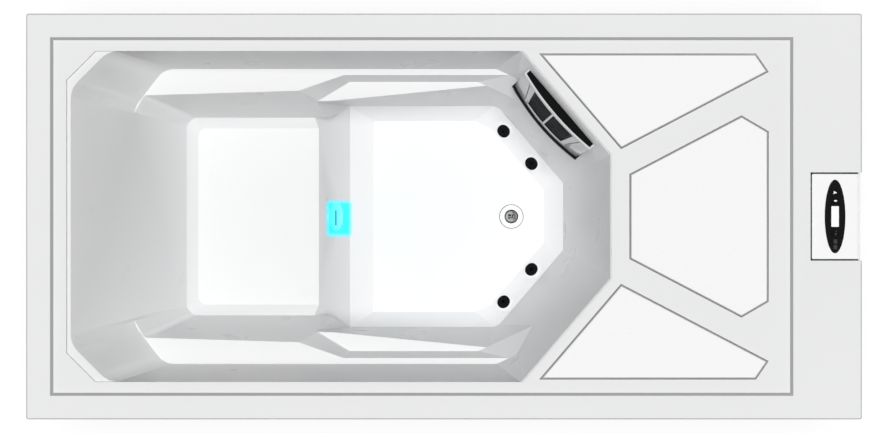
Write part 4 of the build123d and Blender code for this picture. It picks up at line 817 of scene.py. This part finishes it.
def cloth_finish():
    """Filter cloth with a fine weave."""
    finish, tree, shader = new_finish("Filter Cloth", roughness=0.85)
    weave = use(tree, "grain", Scale=2200.0, Wave_Scale=500.0)
    stain = use(tree, "mottle", Scale=24.0, Low=0.0, High=1.0)
    tone = tint(tree, stain.outputs["Value"], (0.62, 0.66, 0.68), (0.82, 0.85, 0.87))
    tree.links.new(tone, shader.inputs["Base Color"])
    bump(tree, shader, weave.outputs["Height"], strength=0.4, distance=0.0003)
    return finish


def build_finishes():
    """One finish for each material slot of the record, and the ones that only some pieces have."""
    colours = settings()[1]
    acrylic = tuple(colours.acrylic)
    trim = tuple(colours.trim)
    skimmer = tuple(colours.skimmer)
    glow = tuple(colours.glow)
    black = (0.006, 0.006, 0.0065)
    rubber = (0.01, 0.01, 0.01)
    print_white = (0.85, 0.85, 0.85)
    print_grey = (0.035, 0.036, 0.038)
    pipe = (0.74, 0.75, 0.76)
    metal = (0.55, 0.56, 0.57)
    plated = (0.7, 0.7, 0.72)
    grey = (0.055, 0.058, 0.062)
    paint = (0.09, 0.1, 0.115)
    FINISHES.update(
        mark_white=moulded("White Print", print_white, rough=0.4, grain=900.0, wave=60.0, relief=0.05),
        mark_grey=moulded(
            "Grey Print", print_grey, rough=0.4, grain=900.0, wave=60.0, relief=0.05, sheen=0.2
        ),
        acrylic=acrylic_finish("Cast Acrylic", acrylic, glow),
        lit_ring=acrylic_finish("Lit Ring", trim, glow),
        drain_white=drain_finish(trim),
        stopper=stopper_finish((0.5, 0.5, 0.51)),
        pad_white=pad_finish(tuple(colours.pads)),
        white_abs=moulded("White Moulding", trim, rough=0.25, grain=700.0, wave=40.0, relief=0.06),
        black_gloss=moulded(
            "Gloss Black", black, rough=0.28, grain=500.0, wave=30.0, relief=0.04, spread_of=0.2, sheen=0.05
        ),
        black_matte=moulded(
            "Satin Black", black, rough=0.5, grain=1500.0, wave=90.0, relief=0.3, spread_of=0.2, sheen=0.04
        ),
        seal_rubber=moulded(
            "Black Rubber", rubber, rough=0.7, grain=900.0, wave=80.0, relief=0.3, spread_of=0.2
        ),
        display=display_finish(),
        pale_grey=moulded("Skimmer Grey", skimmer, rough=0.22, grain=700.0, wave=40.0, relief=0.05, coat=0.2),
        light_lens=glow_finish(glow, colours.glow_strength),
        steel=metal_finish("Brushed Steel", metal, low=0.25, high=0.42, scale=30.0),
        chrome=metal_finish("Plated Chrome", plated, low=0.06, high=0.14, scale=60.0),
        pvc=moulded("White Pipe", pipe, rough=0.35, grain=800.0, wave=60.0, relief=0.08),
        hose=moulded("Flexible Hose", metal, rough=0.45, grain=900.0, wave=120.0, relief=0.2),
        grey_plastic=moulded(
            "Grey Moulding", grey, rough=0.48, grain=1200.0, wave=90.0, relief=0.3, spread_of=0.12
        ),
        motor=moulded(
            "Painted Casting", paint, rough=0.42, grain=900.0, wave=150.0, relief=0.4, spread_of=0.15
        ),
        cladding=timber_finish(
            "Cladding Planks", tuple(colours.cladding),
            stretch=(3.0, 3.0, 170.0), rough=0.55, pitch=PLANK_PITCH, dust=True
        ),
        timber=timber_finish(
            "Frame Timber", tuple(colours.timber),
            stretch=(5.0, 5.0, 120.0), rough=0.7, pitch=BOARD_PITCH, dust=False
        ),
        filter_paper=cloth_finish(),
    )


class SPA_OT_finishes(bpy.types.Operator):
    """Gives every piece of the pool its finish"""

    bl_idname = "spa.finishes"
    bl_label = "Finishes"

    def execute(self, context):
        build_groups()
        build_finishes()
        for node, piece in NODES.items():
            piece.data.materials.clear()
            piece.data.materials.append(FINISHES[SLOT_OF[node]])
        return {"FINISHED"}


class SPA_OT_shell(bpy.types.Operator):
    """Rounds the edges of the moulded shell"""

    bl_idname = "spa.shell"
    bl_label = "Shell"

    def execute(self, context):
        shape = settings()[0]
        soften("shell", shape.shell_edge, shape.edge_steps, FINISHES["acrylic"], degrees=SHELL_FOLD)
        return {"FINISHED"}


class SPA_OT_trim(bpy.types.Operator):
    """Rounds the edges of the pads, the control insert, the skimmer front and the fittings"""

    bl_idname = "spa.trim"
    bl_label = "Trim"

    def execute(self, context):
        shape = settings()[0]
        for node in TRIM_NODES:
            finish = FINISHES[OWN_FINISHES.get(node, SLOT_OF[node])]
            soften(node, shape.trim_edge, shape.edge_steps, finish)
        return {"FINISHED"}


class SPA_OT_drain(bpy.types.Operator):
    """Makes the thin dark seal round the drain flange: a rubber seal and painted shade of the gap under its edge
    """

    bl_idname = "spa.drain"
    bl_label = "Drain seal and shade"

    def execute(self, context):
        shape = settings()[0]
        middle = middle_of("drain_stopper")
        floor_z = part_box("drain_flange")[1].z - FLANGE_THICKNESS
        deselect()
        bpy.ops.mesh.primitive_torus_add(
            major_segments=64,
            minor_segments=8,
            major_radius=DRAIN_FLANGE_RADIUS + SEAL_OUT * shape.seal_and_shade_radius,
            minor_radius=shape.seal_and_shade_radius,
            location=(middle.x, middle.y, floor_z + SEAL_UP * shape.seal_and_shade_radius),
        )
        seal = bpy.context.object
        settle(seal)
        smooth(seal)
        # The dark ring is a rubber seal and painted shade of the gap under the flange's edge
        finish_piece(seal, "drain_seal_and_shade", BODY_OF["drain_flange"], FINISHES["seal_rubber"])
        return {"FINISHED"}


class SPA_OT_shade_sheets(bpy.types.Operator):
    """Makes dark sheets of painted shade behind the skimmer's grilles"""

    bl_idname = "spa.screens"
    bl_label = "Skimmer shade sheets"

    def execute(self, context):
        shape = settings()[0]
        along = Vector(next(joint["axis"] for joint in frame["joints"] if joint["name"] == "weir_swing"))
        behind = Vector((-along.y, along.x, 0)).normalized()
        if behind.x < 0:
            behind.negate()
        self.screen("skimmer_grilles", behind * shape.shade_sheet_gap)
        self.screen("skimmer_top_grille", Vector((0, 0, -shape.shade_sheet_gap)))
        return {"FINISHED"}

    def screen(self, node, shift):
        """A closed dark form of painted shade that fills the outline of a grille, set back behind it."""
        screen = merged_copy(node)
        edit(screen)
        bpy.ops.mesh.select_all(action="SELECT")
        bpy.ops.mesh.convex_hull()
        bpy.ops.mesh.select_all(action="SELECT")
        bpy.ops.transform.translate(value=shift)
        leave()
        # The black form is painted shade of the hollow behind the grille
        finish_piece(screen, node + "_shade_sheet", BODY_OF[node], FINISHES["black_matte"])


class SPA_OT_marks(bpy.types.Operator):
    """Makes the low raised marks on the keypad"""

    bl_idname = "spa.marks"
    bl_label = "Key marks"

    def execute(self, context):
        height = settings()[0].mark_height
        for number, (node, corners, middle, length, width, turn, finish) in enumerate(MARKS, start=1):
            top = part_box(node)[1].z
            deselect()
            bpy.ops.mesh.primitive_cylinder_add(
                vertices=corners, radius=0.5, depth=2 * height, rotation=(0, 0, math.radians(turn))
            )
            mark = bpy.context.object
            settle(mark)
            mark.dimensions = (width, length, 2 * height)
            mark.location = (*middle, top)
            settle(mark)
            finish_piece(mark, f"key_mark_{number}", BODY_OF[node], FINISHES[finish])
        return {"FINISHED"}


class SPA_OT_cabinet(bpy.types.Operator):
    """Rounds the edges of the cladding, its posts and the base"""

    bl_idname = "spa.cabinet"
    bl_label = "Cabinet"

    def execute(self, context):
        shape = settings()[0]
        for node in CABINET_NODES:
            soften(node, shape.panel_edge, PANEL_STEPS, FINISHES[SLOT_OF[node]])
        return {"FINISHED"}


class SPA_OT_studio(bpy.types.Operator):
    """Sets the floor, the lamp, the world and the camera"""

    bl_idname = "spa.studio"
    bl_label = "Studio"

    def execute(self, context):
        studio = settings()[2]
        self.add_floor(studio)
        self.add_lamp(studio)
        self.set_world(studio)
        self.add_camera(studio)
        context.scene.view_settings.view_transform = "Standard"
        return {"FINISHED"}

    def add_floor(self, studio):
        """A plain pale floor just under the base, lifted towards white where the camera sees it."""
        deselect()
        bpy.ops.mesh.primitive_plane_add(size=studio.floor_size, location=(0, 0, -FLOOR_GAP))
        floor = bpy.context.object
        floor.name = "floor"
        finish, tree, shader = new_finish("Studio Floor", roughness=0.9)
        shader.inputs["Base Color"].default_value = (0.93, 0.93, 0.93, 1)
        shader.inputs["Specular IOR Level"].default_value = 0.0
        rays = add(tree, "ShaderNodeLightPath")
        white = add(tree, "ShaderNodeEmission")
        share = add(tree, "ShaderNodeMath", operation="MULTIPLY")
        share.inputs[1].default_value = studio.floor_white
        tree.links.new(rays.outputs["Is Camera Ray"], share.inputs[0])
        blend = add(tree, "ShaderNodeMixShader")
        tree.links.new(share.outputs[0], blend.inputs["Fac"])
        tree.links.new(shader.outputs["BSDF"], blend.inputs[1])
        tree.links.new(white.outputs["Emission"], blend.inputs[2])
        tree.links.new(blend.outputs["Shader"], tree.nodes["Material Output"].inputs["Surface"])
        floor.data.materials.append(finish)

    def add_lamp(self, studio):
        """One wide lamp straight overhead."""
        deselect()
        bpy.ops.object.light_add(type="SUN", location=(0, 0, LAMP_HEIGHT), rotation=(0, 0, 0))
        lamp = bpy.context.object
        lamp.data.energy = studio.sun_strength
        lamp.data.angle = studio.sun_angle
        lamp.visible_glossy = False

    def set_world(self, studio):
        """Even fill, white where the camera or a reflection sees it."""
        world = bpy.context.scene.world or bpy.data.worlds.new("Studio")
        bpy.context.scene.world = world
        world.use_nodes = True
        tree = world.node_tree
        back = tree.nodes["Background"]
        back.inputs["Color"].default_value = (1, 1, 1, 1)
        rays = add(tree, "ShaderNodeLightPath")
        seen = add(tree, "ShaderNodeMath", operation="MAXIMUM")
        through = add(tree, "ShaderNodeMath", operation="MAXIMUM")
        tree.links.new(rays.outputs["Is Camera Ray"], seen.inputs[0])
        tree.links.new(rays.outputs["Is Glossy Ray"], seen.inputs[1])
        tree.links.new(seen.outputs[0], through.inputs[0])
        tree.links.new(rays.outputs["Is Transmission Ray"], through.inputs[1])
        strength = spread(tree, through.outputs[0], studio.fill, 1.0)
        tree.links.new(strength, back.inputs["Strength"])

    def add_camera(self, studio):
        """Straight above the middle of the rim, as in the photograph."""
        deselect()
        bpy.ops.object.camera_add(location=(0, 0, RIM_Z + studio.camera_height), rotation=(0, 0, 0))
        camera = bpy.context.object
        camera.data.lens = studio.lens
        camera.data.sensor_width = SENSOR_WIDTH
        camera.data.clip_end = FARTHEST
        bpy.context.scene.camera = camera


class SPA_PT_panel(bpy.types.Panel):
    """Lists the steps that finish the pool"""

    bl_label = "Spa Pool"
    bl_idname = "SPA_PT_panel"
    bl_space_type = "VIEW_3D"
    bl_region_type = "UI"
    bl_category = "Spa Pool"

    def draw(self, context):
        layout = self.layout
        for step in STEPS:
            layout.operator(step.bl_idname)
        for group in (context.scene.spa_shape, context.scene.spa_colours, context.scene.spa_studio):
            box = layout.box()
            for name in group.bl_rna.properties.keys():
                if name not in ("rna_type", "name"):
                    box.prop(group, name)


STEPS = (
    SPA_OT_finishes,
    SPA_OT_shell,
    SPA_OT_trim,
    SPA_OT_shade_sheets,
    SPA_OT_marks,
    SPA_OT_drain,
    SPA_OT_cabinet,
    SPA_OT_studio,
)
CLASSES = (SpaShape, SpaColours, SpaStudio, *STEPS, SPA_PT_panel)


def register():
    for item in CLASSES:
        bpy.utils.register_class(item)
    bpy.types.Scene.spa_shape = PointerProperty(type=SpaShape)
    bpy.types.Scene.spa_colours = PointerProperty(type=SpaColours)
    bpy.types.Scene.spa_studio = PointerProperty(type=SpaStudio)


def unregister():
    del bpy.types.Scene.spa_studio
    del bpy.types.Scene.spa_colours
    del bpy.types.Scene.spa_shape
    for item in reversed(CLASSES):
        bpy.utils.unregister_class(item)


def main():
    """Runs every step in order."""
    register()
    bpy.ops.spa.finishes()
    bpy.ops.spa.shell()
    bpy.ops.spa.trim()
    bpy.ops.spa.screens()
    bpy.ops.spa.marks()
    bpy.ops.spa.drain()
    bpy.ops.spa.cabinet()
    bpy.ops.spa.studio()
    deselect()


if __name__ == "__main__":
    main()
